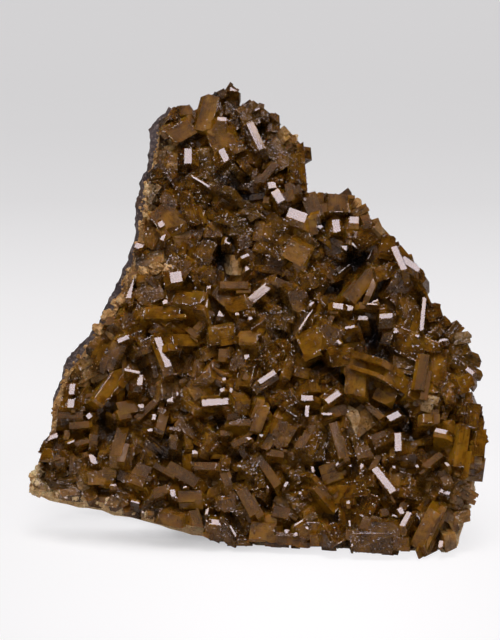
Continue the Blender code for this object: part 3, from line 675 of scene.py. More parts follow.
greyFaces = (
    (223, 353, 9, 9, 0), (260, 181, 8, 6, 0), (266, 200, 6, 6, 0), (366, 219, 9, 9, 10),
    (326, 321, 8, 5, 0), (363, 318, 10, 5, 0), (79, 425, 20, 7, 5), (67, 433, 6, 6, 0),
    (60, 460, 9, 7, 0), (55, 458, 10, 6, 20), (175, 429, 12, 4, -8), (225, 433, 10, 6, 0),
    (385, 512, 8, 8, 10), (403, 504, 9, 5, 50), (437, 419, 10, 6, 88), (469, 397, 10, 6, 85),
    (90, 395, 9, 3, 5), (107, 321, 14, 8, 0), (151, 513, 6, 4, 0), (70, 492, 18, 8, 5),
    (165, 517, 8, 3, 0), (437, 350, 6, 4, 0), (375, 463, 16, 6, 60), (384, 459, 5, 3, 60),
    (446, 478, 10, 6, 20),
)
smallFaces = (
    (198, 215, 12, 10, 0), (92, 346, 12, 10, 0), (120, 333, 10, 10, 20), (315, 378, 10, 10, 0),
    (200, 413, 12, 11, 0), (304, 494, 11, 9, 20), (346, 492, 16, 14, 0), (355, 509, 6, 10, 0),
    (35, 447, 10, 10, 0), (197, 503, 12, 12, 10), (290, 541, 30, 9, -5), (320, 540, 20, 12, 0),
    (266, 515, 6, 6, 0), (429, 528, 40, 6, 65), (437, 530, 40, 6, 65), (240, 543, 14, 10, 0),
    (447, 503, 10, 10, 20), (257, 104, 12, 12, 30), (186, 110, 12, 11, 0), (175, 113, 12, 10, 55),
    (166, 117, 10, 8, 10), (266, 114, 10, 8, 0), (276, 116, 8, 8, 20), (213, 93, 6, 6, 0),
    (222, 93, 8, 8, 30), (421, 272, 10, 10, 0), (434, 311, 15, 14, 10), (424, 459, 18, 8, -50),
    (414, 395, 12, 9, -35), (237, 268, 9, 15, 5), (358, 422, 20, 9, -70), (348, 420, 16, 5, 75),
    (428, 405, 15, 11, 75), (480, 460, 12, 6, -10), (253, 471, 8, 8, 0), (304, 455, 14, 12, 20),
    (288, 128, 13, 9, 40), (304, 146, 14, 9, 20), (268, 103, 11, 8, 30), (381, 229, 13, 9, -45),
    (402, 252, 14, 8, -50), (448, 322, 12, 8, 10), (472, 348, 10, 8, 0), (240, 546, 20, 9, 5),
    (276, 545, 22, 8, 0),
)
# Where the crystals' stuff differs, and where they are painted dark: across, down, radius.
honeySpots = (
    (296, 253, 16), (198, 215, 8), (306, 228, 11), (401, 384, 15), (414, 395, 6), (355, 377, 15),
    (437, 371, 18), (111, 385, 17), (92, 346, 8), (207, 113, 17), (162, 312, 14), (150, 312, 7),
    (185, 340, 12), (248, 338, 10), (327, 498, 15), (427, 527, 20), (343, 357, 13), (464, 446, 17),
    (338, 411, 11), (222, 140, 12), (236, 267, 9), (101, 478, 12), (46, 454, 8), (346, 492, 8),
    (304, 494, 7), (197, 503, 8), (266, 515, 5), (451, 430, 10), (428, 405, 9), (200, 413, 8),
    (120, 333, 7), (262, 531, 14), (310, 530, 14), (182, 132, 12), (167, 218, 15), (355, 509, 7),
    (236, 304, 11), (188, 298, 13), (362, 285, 16), (384, 395, 10), (312, 342, 12), (260, 419, 11),
)
frostSpots = (
    (212, 165, 18), (253, 113, 9), (275, 150, 12), (300, 130, 10), (310, 242, 11), (240, 228, 12),
    (252, 212, 11), (197, 205, 6), (277, 318, 12), (275, 305, 8), (318, 446, 15), (302, 473, 10),
    (253, 471, 7), (304, 455, 8), (384, 445, 9), (405, 365, 14), (470, 360, 15), (45, 444, 10),
    (60, 485, 15), (236, 527, 9), (240, 510, 10), (372, 550, 14), (290, 503, 14), (395, 262, 9),
    (240, 470, 8), (165, 500, 7), (460, 337, 9), (440, 395, 11), (440, 340, 11), (420, 480, 10),
    (95, 460, 9), (355, 447, 11), (380, 460, 9), (345, 345, 7), (285, 160, 12),
)
creamSpots = (
    (165, 145, 10), (172, 138, 8), (293, 137, 10), (285, 125, 6), (147, 190, 6), (145, 215, 5),
    (145, 235, 5), (150, 267, 6), (136, 268, 5), (165, 270, 5), (355, 204, 9), (377, 225, 7),
    (236, 267, 6), (100, 330, 7), (85, 372, 11), (165, 383, 7), (186, 391, 6), (428, 403, 4),
    (358, 422, 4), (437, 481, 6), (213, 482, 7), (84, 478, 7), (178, 526, 6), (464, 335, 7),
    (464, 487, 8), (476, 458, 7), (454, 542, 10), (460, 520, 5), (40, 488, 12), (33, 475, 9),
    (70, 500, 9), (112, 512, 11), (140, 518, 7), (155, 524, 6), (208, 518, 5), (403, 497, 4),
    (398, 486, 6), (443, 512, 7),
)
# Dark places: the dark rock's own colour at the left edge, and painted shade in the deep hollows between the
# crystals.
darkSpots = (
    (151, 141, 12), (158, 122, 9), (146, 172, 6), (137, 212, 4), (136, 262, 4), (115, 298, 5),
    (111, 306, 4), (84, 352, 7), (68, 364, 7), (57, 392, 4), (213, 93, 5), (355, 262, 16), (222, 258, 12),
    (335, 292, 8), (246, 196, 8), (230, 182, 10), (390, 345, 8), (373, 345, 12), (322, 365, 10),
    (402, 408, 8), (409, 430, 9), (165, 453, 10), (220, 418, 6), (268, 434, 7), (109, 425, 8),
    (98, 383, 6), (325, 225, 8), (289, 300, 8),
)

# A crystal of each kind: its rise above the root in metres, its tilt in degrees, how many of its four
# sides slope out below the face, how far in picture steps, and how steeply. It may also stand higher by
# a lift, have slanting corners, or be split into strips.
def kindOf(rise, tilt, slopes=0, flare=(0, 0), slope=(0, 0), corners=1, most=0.6, lift=0, strips=(1, 1)):
    return {"rise": rise, "tilt": tilt, "slopes": slopes, "flare": flare, "slope": slope, "corners": corners,
            "most": most, "lift": lift, "strips": strips}


kinds = {
    "bright": kindOf((0.0045, 0.0070), (0, 2), 2, (3, 9), (40, 65), corners=0, lift=0.0014),
    "dull": kindOf((0.0035, 0.0060), (7.6, 10.2), 1, (3, 9), (40, 65), corners=0, lift=0.0005),
    "body": kindOf((0.0030, 0.0065), (15, 42), 1, (2, 5), (40, 55), lift=0.0006),
    "broad": kindOf((0.0020, 0.0040), (15, 42), 1, (2, 5), (35, 50), strips=(2, 3)),
    "tooth": kindOf((0.0000, 0.0030), (8, 30), strips=(2, 3)),
    "plate": kindOf((0.0004, 0.0020), (15, 42), strips=(2, 3)),
    "chip": kindOf((0.0010, 0.0035), (15, 42), 1, (2, 5), (40, 55)),
    "glint": kindOf((0.0045, 0.0075), (0, 2), 1, (1, 4), (40, 65), corners=2, most=1.2),
    "grey": kindOf((0.0040, 0.0065), (7.6, 10.2), 1, (1, 4), (40, 65)),
    "small": kindOf((0.0015, 0.0050), (12, 50), 1, (1, 3), (40, 60)),
    "filler": kindOf((-0.0008, 0.0016), (12, 50), 2, (1, 4), (40, 65)),
}
# The kinds that mirror the lights, and those too small for the solid model.
mirrorKinds = ("bright", "glint", "dull", "grey")
smallKinds = ("glint", "grey", "small", "filler")
# How the crystals are placed, cut off at the outline, split, pointed and rounded.
growth = {"edgeTilt": (8, 30), "edgeBand": 22, "mostSkew": 8, "toothSides": (20, 12), "toothTurn": 32,
          "rootDepth": 0.0042, "leastFacing": 0.5, "brightTilt": 24, "mirrorRoom": 13, "sunk": 0.0018,
          "outsets": {"left": (-9, -3), "lowerLeft": (-4, 3), "foot": (-1, 4), "corner": (-6, 3),
                      "right": (2, 8), "top": (1, 6)}, "toothOutset": 9, "smallOutset": 3, "cutBand": 45,
          "bare": 4, "boxRoom": 0.0002, "plates": {"count": 58, "long": (24, 34)},
          "chips": {"count": 24, "long": (13, 19)},
          "fillers": ({"count": 260, "long": (12, 24), "width": (0.3, 0.6), "inset": 5, "mostDark": 0.4},
                      {"count": 340, "long": (6, 13), "width": (0.35, 0.7), "inset": 2, "mostDark": 0.5}),
          "betweenInset": 10, "betweenWidth": (0.6, 0.85), "tries": 40, "fillerTries": 4, "pitRoom": 1.5,
          "clearAt": (-0.42, -0.2, 0.2, 0.42), "bevel": 0.00013, "bevelSpread": (0.6, 1.5),
          "smallBevel": 0.00005, "softBevel": (0.00008, 0.00030), "rounding": 2,
          "stripShares": (0.6, 1.4), "stripLong": (0.78, 1.0), "stripSteps": (-0.0009, 0.0002),
          "cornerReach": 0.15, "cornerSlant": (0.5, 1.6), "cornerTilt": (0, 0.8)}
# Smaller crystals grown parallel to a big one: their height beside its face, and their size and place
# as shares of its own.
companion = {"lift": (-0.0012, 0.0004), "brightLift": (-0.0024, -0.0012), "long": (0.35, 0.85),
             "wide": (0.3, 0.8), "aside": (0.2, 0.5), "above": (0.3, 0.65), "lean": 3, "dullShare": 0.4,
             "bevel": (0.6, 1.3), "shade": 0.1, "mostDark": 0.5}
# What the crystals are made of, with the light and shade painted on them: warmth, frost, paleness and
# darkness, by place, kind and side of a crystal. The lighter bevels and sides, the darker top and foot, and
# the darkness in the hollows are painted light and shade.
stuffing = {"warm": 0.46, "honey": 0.26, "cloud": 0.12, "cloudStep": 0.05, "cloudLayer": 3.1,
            "grainShift": (0, 90), "grainScale": 1000, "facing": 0.7, "spread": 0.08, "paintedTopShade": 0.07,
            "frost": 0.9, "frosting": (-0.4, 0.6), "cream": 0.85, "dark": 1.2, "mostDark": 0.97,
            "spotDark": 1.25, "mirrorWarm": 0.05, "mirrorFrost": -0.9, "bodyWarm": 0.04,
            "bodyFrost": 0.4, "bigPale": 0.45, "shade": 0.05, "glow": (0.04, 0.22),
            "faceGlow": (-0.08, 0.04), "paintedSideLight": (-0.08, 0.18), "paintedEdgeHighlight": 0.12,
            "sideFrost": (0.0, 0.6), "topFacing": 0.9, "paintedDepthShade": 0.20, "paintedDepthDark": 0.12,
            "cutShade": 0.1}
# Tiny crystals along the edges of faces, and thin slivers where an edge catches the key light.
fringe = {"every": 0.00021, "size": (0.00013, 0.00038), "spread": 0.00024, "from": (-0.5, 0.2),
          "to": (-0.1, 0.5), "below": (-1, 0.2), "aimed": 0.46, "aimedLean": 8}
sliver = {"share": 0.5, "lift": 0.0001, "long": (0.0008, 0.0030), "wide": (0.00010, 0.00018),
          "mostLong": 0.8, "mostTurn": 30, "stuff": (0.6, 0, 0, 0)}
fringePlaces = []
sliverPlaces = []
brightNormal = Matrix.Rotation(math.radians(-growth["brightTilt"]), 3, "X") @ -eyeForward


def edgeHeading(across, down):
    # Near the outline, the way out of the picture's body, and None further in.
    spot = Vector((across, down))
    nearest = min(bodyOutline, key=lambda point: (Vector(point) - spot).length)
    if (Vector(nearest) - spot).length > growth["edgeBand"]:
        return None
    index = bodyOutline.index(nearest)
    before = Vector(bodyOutline[index - 1])
    after = Vector(bodyOutline[(index + 1) % len(bodyOutline)])
    along = (after - before).normalized()
    return eyeRight * along.y + eyeUp * along.x


def outlineCut(across, down, outset):
    # How far away the nearest stretch of the outline is, and the plane along the sight lines through it.
    spot = Vector((across, down))
    best = None
    for index, end in enumerate(bodyOutline):
        start, end = Vector(bodyOutline[index - 1]), Vector(end)
        share = max(0, min(1, (spot - start).dot(end - start) / (end - start).length_squared))
        away = (start.lerp(end, share) - spot).length
        if best is None or away < best[0]:
            best = (away, start, end)
    away, start, end = best
    if spot.x < bounds["bareCrystals"]:
        outset -= growth["bare"] * max(nearSpots(darkSpots, *start), nearSpots(darkSpots, *end))
    along = (end - start).normalized()
    outward = Vector((along.y, -along.x))
    first = placeOn(veinFront, *(start + outward * outset)) - eyePlace
    second = placeOn(veinFront, *(end + outward * outset)) - eyePlace
    normal = first.cross(second).normalized()
    if normal.dot(eyeRight * outward.x - eyeUp * outward.y) < 0:
        normal = -normal
    return away, eyePlace + first, normal


def mirrorAt(spot):
    # The way a face at a spot looks when it mirrors the key light to the eye.
    return ((eyePlace - spot).normalized() + (keyPlace - spot).normalized()).normalized()


def tipped(normal, towards, degrees):
    return Matrix.Rotation(math.radians(degrees), 3, normal.cross(towards)) @ normal


def keptDull(normal, spot):
    # A face that isn't bright in the picture doesn't mirror the key light.
    mirror = mirrorAt(spot)
    if math.degrees(normal.angle(mirror)) < growth["mirrorRoom"]:
        return tipped(mirror, normal, growth["mirrorRoom"])
    return normal


def normalFor(kind, across, down, spot, chance):
    # Which way a visible face looks. Bright faces mirror the key light, grey ones its surroundings.
    heading = edgeHeading(across, down)
    spin = chance.uniform(0, math.tau)
    spun = eyeRight * math.cos(spin) + eyeUp * math.sin(spin)
    tilt = chance.uniform(*kinds[kind]["tilt"])
    if kind in mirrorKinds:
        return tipped(mirrorAt(spot), spun, tilt)
    if heading:
        return keptDull(tipped(-eyeForward, heading, chance.uniform(*growth["edgeTilt"])), spot)
    return keptDull(tipped(-eyeForward, spun, tilt), spot)


def stuffAt(across, down):
    # Warmth, frost, paleness and darkness of the crystals at a place of the picture. The darkness is painted
    # shade in the hollows, and the dark rock's colour at the left edge.
    step = stuffing["cloudStep"]
    cloud = noise.noise(Vector((across * step, down * step, stuffing["cloudLayer"])))
    warm = stuffing["warm"] + stuffing["honey"] * nearSpots(honeySpots, across, down)
    warm += stuffing["cloud"] * cloud
    warm += wild.uniform(-stuffing["spread"], stuffing["spread"])
    # Painted shade: the crystals near the top are painted darker, against the stronger light there.
    if down < bounds["topShadeLimit"]:
        warm -= stuffing["paintedTopShade"]
    frost = stuffing["frost"] * nearSpots(frostSpots, across, down)
    frost += max(0, wild.uniform(*stuffing["frosting"]))
    dark = stuffing["dark"] * nearSpots(darkSpots, across, down)
    cream = stuffing["cream"] * nearSpots(creamSpots, across, down)
    return warm, min(1, frost), cream, min(stuffing["mostDark"], dark)


def crystalBody(sides, depth, flares, slope, skew, corners=()):
    # One thick tabular crystal. Its visible face is centred on the origin and looks along +Z, and
    # behind its edges the body slopes out by the flares: +X, -X, +Y and -Y.
    right, left, top, bottom = flares
    bm = bmesh.new()
    bmesh.ops.create_cube(bm, size=1)
    size = (sides[0] + right + left, sides[1] + top + bottom, depth)
    bmesh.ops.scale(bm, vec=size, verts=bm.verts)
    bmesh.ops.translate(bm, vec=((right - left) / 2, (top - bottom) / 2, -depth / 2), verts=bm.verts)
    for out, flare in (((1, 0), right), ((-1, 0), left), ((0, 1), top), ((0, -1), bottom)):
        if flare > 0:
            out = Vector((*out, 0))
            edge = Vector((out.x * sides[0] / 2, out.y * sides[1] / 2, 0))
            cutBody(bm, edge, out * math.sin(slope) + Vector((0, 0, math.cos(slope))))
    for acrossWay, upWay, reach, slant, tilt in corners:
        # A slanting face in place of one corner.
        corner = Vector((acrossWay * (size[0] / 2 - reach), upWay * size[1] / 2, 0))
        corner += Vector(((right - left) / 2, (top - bottom) / 2, 0))
        cutBody(bm, corner, Vector((acrossWay, upWay * slant, tilt)).normalized())
    for vert in bm.verts:
        vert.co.x += vert.co.y * skew
    return bm


def cornersOf(sides, count, most=0.6):
    # Slanting faces that point or chisel a crystal's ends.
    corners = []
    for _ in range(count):
        reach = sides[1] * wild.uniform(growth["cornerReach"], most)
        ways = (wild.choice((-1, 1)), wild.choice((-1, 1)))
        slant, tilt = wild.uniform(*growth["cornerSlant"]), wild.uniform(*growth["cornerTilt"])
        corners.append((*ways, reach, slant, tilt))
    return corners


def stripsOf(sides, flares, skew, count):
    # A crystal split along its length into narrower ones that have grown side by side.
    shares = [wild.uniform(*growth["stripShares"]) for _ in range(count)]
    low = -sides[1] / 2
    strips = []
    for index, share in enumerate(shares):
        width = sides[1] * share / sum(shares)
        length = sides[0] * (1 if count == 1 else wild.uniform(*growth["stripLong"]))
        beside = low + width / 2
        middle = Vector((wild.uniform(-0.5, 0.5) * (sides[0] - length) + beside * skew, beside, 0))
        if count > 1:
            middle.z = wild.uniform(*growth["stripSteps"])
        own = (flares[0], flares[1], flares[2] if index == count - 1 else 0, flares[3] if index == 0 else 0)
        strips.append((middle, (length, width), own))
        low += width
    return strips


def dress(bm, stuff, sides, depth, bevel):
    # Bevel a crystal, and note its stuff, its grain and its zones on every corner. The stuff also holds
    # painted light and shade: lighter bevels and sides, and darker towards the crystal's foot.
    warm, frost, pale, dark = stuff
    heading = wild.uniform(0, math.tau)
    glow = Vector((math.cos(heading), math.sin(heading))) * wild.uniform(*stuffing["glow"])
    edges = set()
    if bevel:
        segments = growth["rounding"] if bevel > growth["bevel"] / 2 else 1
        made = bmesh.ops.bevel(bm, geom=bm.edges[:], offset=bevel, offset_type="OFFSET", affect="EDGES",
                               segments=segments, profile=0.5, material=-1, clamp_overlap=True)
        edges = set(made["faces"])
    stuffLayer = bm.loops.layers.float_color.new("stuff")
    grainLayer = bm.loops.layers.uv.new("grain")
    zoneLayer = bm.loops.layers.uv.new("zone")
    bm.normal_update()
    for face in bm.faces:
        shift = Vector((wild.uniform(*stuffing["grainShift"]), wild.uniform(*stuffing["grainShift"])))
        # Painted highlight: the bevels are painted lighter, and other faces take a random tone.
        level = stuffing["paintedEdgeHighlight"] if face in edges else wild.uniform(*stuffing["faceGlow"])
        coated = frost
        if bevel and face not in edges and face.normal.z < stuffing["topFacing"]:
            coated = max(frost, wild.uniform(*stuffing["sideFrost"]))
            # Painted light: the crystal's sides are painted lighter.
            level = wild.uniform(*stuffing["paintedSideLight"])
        for loop in face.loops:
            spot = loop.vert.co
            down = min(1, max(0, -spot.z / depth))
            across, along, deep = 2 * spot.x / sides[0], 2 * spot.y / sides[1], 1 - 2 * down
            # Painted shade: the tone falls and the darkness grows towards the crystal's foot.
            tone = warm + level + glow.x * across + glow.y * along - stuffing["paintedDepthShade"] * down
            loop[stuffLayer] = (tone, coated, pale, min(1, dark + stuffing["paintedDepthDark"] * down * down))
            if abs(face.normal.y) > stuffing["facing"]:
                grain, zone = (spot.x, spot.z), (across, deep)
            elif abs(face.normal.x) > stuffing["facing"]:
                grain, zone = (spot.y, spot.z), (along, deep)
            else:
                grain, zone = (spot.x, spot.y), (across, along)
            loop[grainLayer].uv = Vector(grain) * stuffing["grainScale"] + shift
            loop[zoneLayer].uv = zone


def standAt(spot, along, normal):
    beside = normal.cross(along)
    return Matrix.Translation(spot) @ Matrix((along, beside, normal)).transposed().to_4x4()


def keptInBox(bm):
    # Move a crystal or a lump back within the solid's reach.
    shift = Vector()
    for axis in range(3):
        low = min(vert.co[axis] for vert in bm.verts) - cadBox[0][axis] - growth["boxRoom"]
        high = cadBox[1][axis] - growth["boxRoom"] - max(vert.co[axis] for vert in bm.verts)
        if axis < 2 and low < 0:
            shift[axis] -= low
        if high < 0:
            shift[axis] += high
    bmesh.ops.translate(bm, vec=shift, verts=bm.verts)


def setIn(whole, bm, edge, stuff):
    # Trim a crystal, end it at the outline, and join it to the others.
    away, point, normal = edge
    keptInBox(bm)
    layer = bm.loops.layers.float_color["stuff"]
    # Painted shade: corners near the deep hollows turn dark. Near the left edge they take the dark rock's
    # colour.
    for vert in bm.verts:
        dark = min(stuffing["mostDark"], stuffing["spotDark"] * nearSpots(darkSpots, *placeSeen(vert.co)))
        for loop in vert.link_loops:
            loop[layer] = (*loop[layer][:3], max(loop[layer][3], dark))
    if away < growth["cutBand"]:
        for face in cutBody(bm, point, normal):
            for loop in face.loops:
                loop[layer] = (stuff[0] - stuffing["cutShade"], *stuff[1:])
    trim(bm)
    joinInto(whole, bm)


def noteFringe(seat, sides, skew):
    # Places along two edges of a crystal's face where tiny crystals catch the light.
    normal = seat.to_3x3().col[2]
    for side in wild.sample(range(4), 2):
        lengthwise = side < 2
        length, width = sides if lengthwise else sides[::-1]
        border = (0.5 if side % 2 else -0.5) * width
        first, last = wild.uniform(*fringe["from"]), wild.uniform(*fringe["to"])
        for _ in range(round(length * abs(last - first) / fringe["every"])):
            reach = wild.uniform(first, last) * length
            edge = border + wild.uniform(-1, 1) * fringe["spread"]
            spot = Vector((reach, edge, 0)) if lengthwise else Vector((edge, reach, 0))
            spot.x += spot.y * skew
            spot.z = wild.uniform(*fringe["below"]) * fringe["spread"]
            fringePlaces.append((seat @ spot, normal))
        if wild.random() < sliver["share"]:
            spot = Vector((0, border, sliver["lift"])) if lengthwise else Vector((border, 0, sliver["lift"]))
            sliverPlaces.append((seat @ spot, seat.to_3x3().col[0 if lengthwise else 1], length))


def stuffFor(kind, across, down):
    # A crystal's stuff by its place and kind. Faces that mirror the lights have frost below zero.
    warm, frost, pale, dark = stuffAt(across, down)
    if kind in mirrorKinds:
        warm, frost = warm + stuffing["mirrorWarm"], stuffing["mirrorFrost"]
    if kind == "body":
        warm, frost = warm + stuffing["bodyWarm"], stuffing["bodyFrost"] * frost
    if kind not in ("small", "filler", "glint"):
        pale *= stuffing["bigPale"]
    return warm, frost, pale, dark


def bevelFor(kind):
    usual = growth["bevel"] * wild.uniform(*growth["bevelSpread"])
    if kind in ("glint", "grey"):
        return growth["smallBevel"]
    return usual if kind in ("bright", "dull", "tooth") else wild.uniform(*growth["softBevel"])


def shaded(stuff, spread):
    return (stuff[0] + wild.uniform(-spread, spread), *stuff[1:])


def growCompanion(whole, kind, seat, sides, depth, skew, edge, stuff):
    # A smaller crystal grown parallel to a big one, across its edge.
    along, _, normal = seat.to_3x3().col
    lift = wild.uniform(*companion["brightLift" if kind == "bright" else "lift"])
    size = (sides[0] * wild.uniform(*companion["long"]), sides[1] * wild.uniform(*companion["wide"]))
    offset = Vector((wild.choice((-1, 1)) * sides[0] * wild.uniform(*companion["aside"]),
                     wild.choice((-1, 1)) * sides[1] * wild.uniform(*companion["above"]), lift))
    degrees = wild.uniform(-companion["lean"], companion["lean"])
    lean = tipped(normal, along, degrees * (companion["dullShare"] if kind == "dull" else 1))
    if kind == "bright":
        lean = keptDull(lean, seat.translation)
    part = crystalBody(size, depth + lift, (0, 0, 0, 0), 0, skew, cornersOf(size, kinds[kind]["corners"]))
    shade = shaded(stuff, companion["shade"])
    dress(part, shade, size, depth, growth["bevel"] * wild.uniform(*companion["bevel"]))
    drawnAlong = (along - lean * along.dot(lean)).normalized()
    bmesh.ops.transform(part, matrix=standAt(seat @ offset, drawnAlong, lean), verts=part.verts)
    setIn(whole, part, edge, stuff)


def grow(whole, kind, across, down, longSteps, shortSteps, turn, chance, companions=0):
    # Set one crystal where the picture shows its face, with smaller ones grown parallel to it.
    shape = kinds[kind]
    dark = nearSpots(darkSpots, across, down)
    rise = chance.uniform(*shape["rise"]) + swell(across, down) + shape["lift"] - growth["sunk"] * dark
    spot = placeOn(lambda x, z: rootY(x, z) - rise, across, down)
    normal = normalFor(kind, across, down, spot, chance)
    angle = math.radians(turn)
    drawn = eyeRight * math.cos(angle) + eyeUp * math.sin(angle)
    along = drawn - eyeForward * (drawn.dot(normal) / eyeForward.dot(normal))
    scale = picture["step"] * (spot - eyePlace).length / picture["distance"]
    sides = (longSteps * scale * along.length, shortSteps * scale)
    along.normalize()
    depth = (rise + growth["rootDepth"]) / max(growth["leastFacing"], -normal.y)
    flares = [0, 0, 0, 0]
    slope = math.radians(chance.uniform(*shape["slope"])) if shape["slopes"] else 0
    for side in chance.sample(range(4), shape["slopes"]):
        flares[side] = scale * chance.uniform(*shape["flare"])
    skew = math.tan(math.radians(chance.uniform(-growth["mostSkew"], growth["mostSkew"])))
    stuff = stuffFor(kind, across, down)
    side = sideOf(across, down)
    outset = wild.uniform(*growth["outsets"][side])
    if kind == "tooth" and side not in ("left", "lowerLeft", "foot"):
        outset = growth["toothOutset"]
    if kind in ("small", "glint", "grey"):
        outset = max(outset, growth["smallOutset"] if across > bounds["plainOutset"] else 0)
    edge = outlineCut(across, down, outset)
    seat = standAt(spot, along, normal)
    for middle, size, own in stripsOf(sides, flares, skew, wild.randint(*shape["strips"])):
        corners = cornersOf(size, shape["corners"], shape["most"])
        bm = crystalBody(size, depth + middle.z, own, slope, skew, corners)
        shade = shaded(stuff, stuffing["shade"])
        dress(bm, shade, size, depth, bevelFor(kind))
        bmesh.ops.translate(bm, vec=middle, verts=bm.verts)
        bmesh.ops.transform(bm, matrix=seat, verts=bm.verts)
        setIn(whole, bm, edge, stuff)
    if kind not in smallKinds + ("bright", "dull"):
        noteFringe(seat, sides, skew)
    for _ in range(companions if dark < companion["mostDark"] else 0):
        growCompanion(whole, kind, seat, sides, depth, skew, edge, stuff)


def roomAt(spot, centres):
    fromCrystals = min((spot - centre).length for centre in centres)
    fromPits = min((spot - Vector(pit[:2])).length - pit[2] for pit in pits)
    return min(fromCrystals, growth["pitRoom"] * fromPits)


def pictureSpot(chance):
    lefts, downs = zip(*bodyOutline)
    return chance.uniform(min(lefts), max(lefts)), chance.uniform(min(downs), max(downs))


def addBetween(whole, kind, family, centres, chance, inset, tries):
    # More crystals in the emptiest places that the picture's own leave, clear of the deep ones.
    outline = evenOutline(inset)
    for _ in range(family["count"]):
        looks = []
        while len(looks) < tries:
            spot = Vector(pictureSpot(chance))
            if insideOutline(outline, *spot) and nearSpots(darkSpots, *spot) < family.get("mostDark", 2):
                looks.append(spot)
        spot = max(looks, key=lambda look: roomAt(look, centres))
        longSteps = chance.uniform(*family["long"])
        shortSteps = longSteps * chance.uniform(*family.get("width", growth["betweenWidth"]))
        grow(whole, kind, *spot, longSteps, shortSteps, chance.uniform(0, 180), chance)
        centres.append(spot)


def growTable(whole, kind, table, companions, chance, centres):
    for across, down, longSteps, shortSteps, turn in table:
        grow(whole, kind, across, down, longSteps, shortSteps, turn, chance, companions)
        centres.append(Vector((across, down)))


def makeBlades(material):
    # The crystals that the solid model has too, in the same order and places.
    whole = bmesh.new()
    centres = []
    for kind, table, companions in (("bright", brightFaces, 1), ("dull", dullFaces, 1),
                                    ("body", bodyFaces, 2), ("broad", broadFaces, 2)):
        growTable(whole, kind, table, companions, dice, centres)
    for across, down, outward in edgeTeeth:
        heading = math.radians(outward)
        reach = growth["toothSides"][0] / 2
        inner = (across - math.cos(heading) * reach, down + math.sin(heading) * reach)
        turn = outward + dice.choice((-growth["toothTurn"], growth["toothTurn"]))
        grow(whole, "tooth", *inner, *growth["toothSides"], turn, dice)
        centres.append(Vector(inner))
    for kind in ("plate", "chip"):
        addBetween(whole, kind, growth[kind + "s"], centres, dice, growth["betweenInset"], growth["tries"])
    piece = addPiece("bariteBlades", whole, material)
    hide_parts("barite_crystals")
    return centres


def makeSmallCrystals(material, centres):
    whole = bmesh.new()
    for table in (brightFaces, dullFaces, bodyFaces):
        for across, down, longSteps, shortSteps, turn in table:
            along = Vector((math.cos(math.radians(turn)), -math.sin(math.radians(turn)))) * longSteps
            centres += [Vector((across, down)) + along * share for share in growth["clearAt"]]
    for kind, table, companions in (("glint", glints, 0), ("grey", greyFaces, 0), ("small", smallFaces, 1)):
        growTable(whole, kind, table, companions, wild, centres)
    for family in growth["fillers"]:
        addBetween(whole, "filler", family, centres, wild, family["inset"], growth["fillerTries"])
    addPiece("bariteSmall", whole, material)


# The root: how far in its edge lies on each side, its grain, and how deep it is and how dark it is painted
# as shade at the hollows.
root = {"inset": {"left": 12, "lowerLeft": 5, "foot": 2, "corner": 8, "right": 6, "top": 6}, "cuts": 3,
        "frontRings": (0, 0.2, 0.4, 0.6, 0.8, 0.97), "backRings": (1, 0.5, 0),
        "fine": ((0.0060, 0.0012), (0.0022, 0.0008)), "sunk": 0.0035, "sunkReach": 1.3,
        "leastThick": 0.0008, "warm": (0.26, 0.3, 0.004), "frost": 0.5, "dark": 0.12, "darkReach": 2}


def makeRoot(material):
    # The massive root between the crystals' free ends, sunk at the deep places and painted dark there as
    # shade.
    outline = insetOutline(root["inset"], vein["bare"])
    front = capRings(outline, root["frontRings"], lambda x, z: rootY(x, z))
    back = capRings(outline, root["backRings"], veinFront)
    bm = lump(front + back)
    bmesh.ops.subdivide_edges(bm, edges=bm.edges[:], cuts=root["cuts"], use_grid_fill=True)
    bmesh.ops.triangulate(bm, faces=bm.faces[:])
    roughen(bm, root["fine"])
    for vert in bm.verts:
        sunk = nearPit(*placeSeen(vert.co), root["sunkReach"]) * root["sunk"]
        deepest = veinFront(vert.co.x, vert.co.z) - root["leastThick"]
        vert.co.y = max(vert.co.y, min(vert.co.y + sunk, deepest))
    trim(bm)
    stuffLayer = bm.loops.layers.float_color.new("stuff")
    bm.loops.layers.uv.new("grain")
    bm.loops.layers.uv.new("zone")
    warm, cloud, spacing = root["warm"]
    for vert in bm.verts:
        across, down = placeSeen(vert.co)
        dark = max(nearPit(across, down, root["darkReach"]), nearSpots(darkSpots, across, down))
        tone = warm + cloud * noise.noise(vert.co / spacing)
        stuff = (tone, root["frost"], nearSpots(creamSpots, across, down), min(1, root["dark"] + dark))
        for loop in vert.link_loops:
            loop[stuffLayer] = stuff
    addPiece("bariteRoot", bm, material)


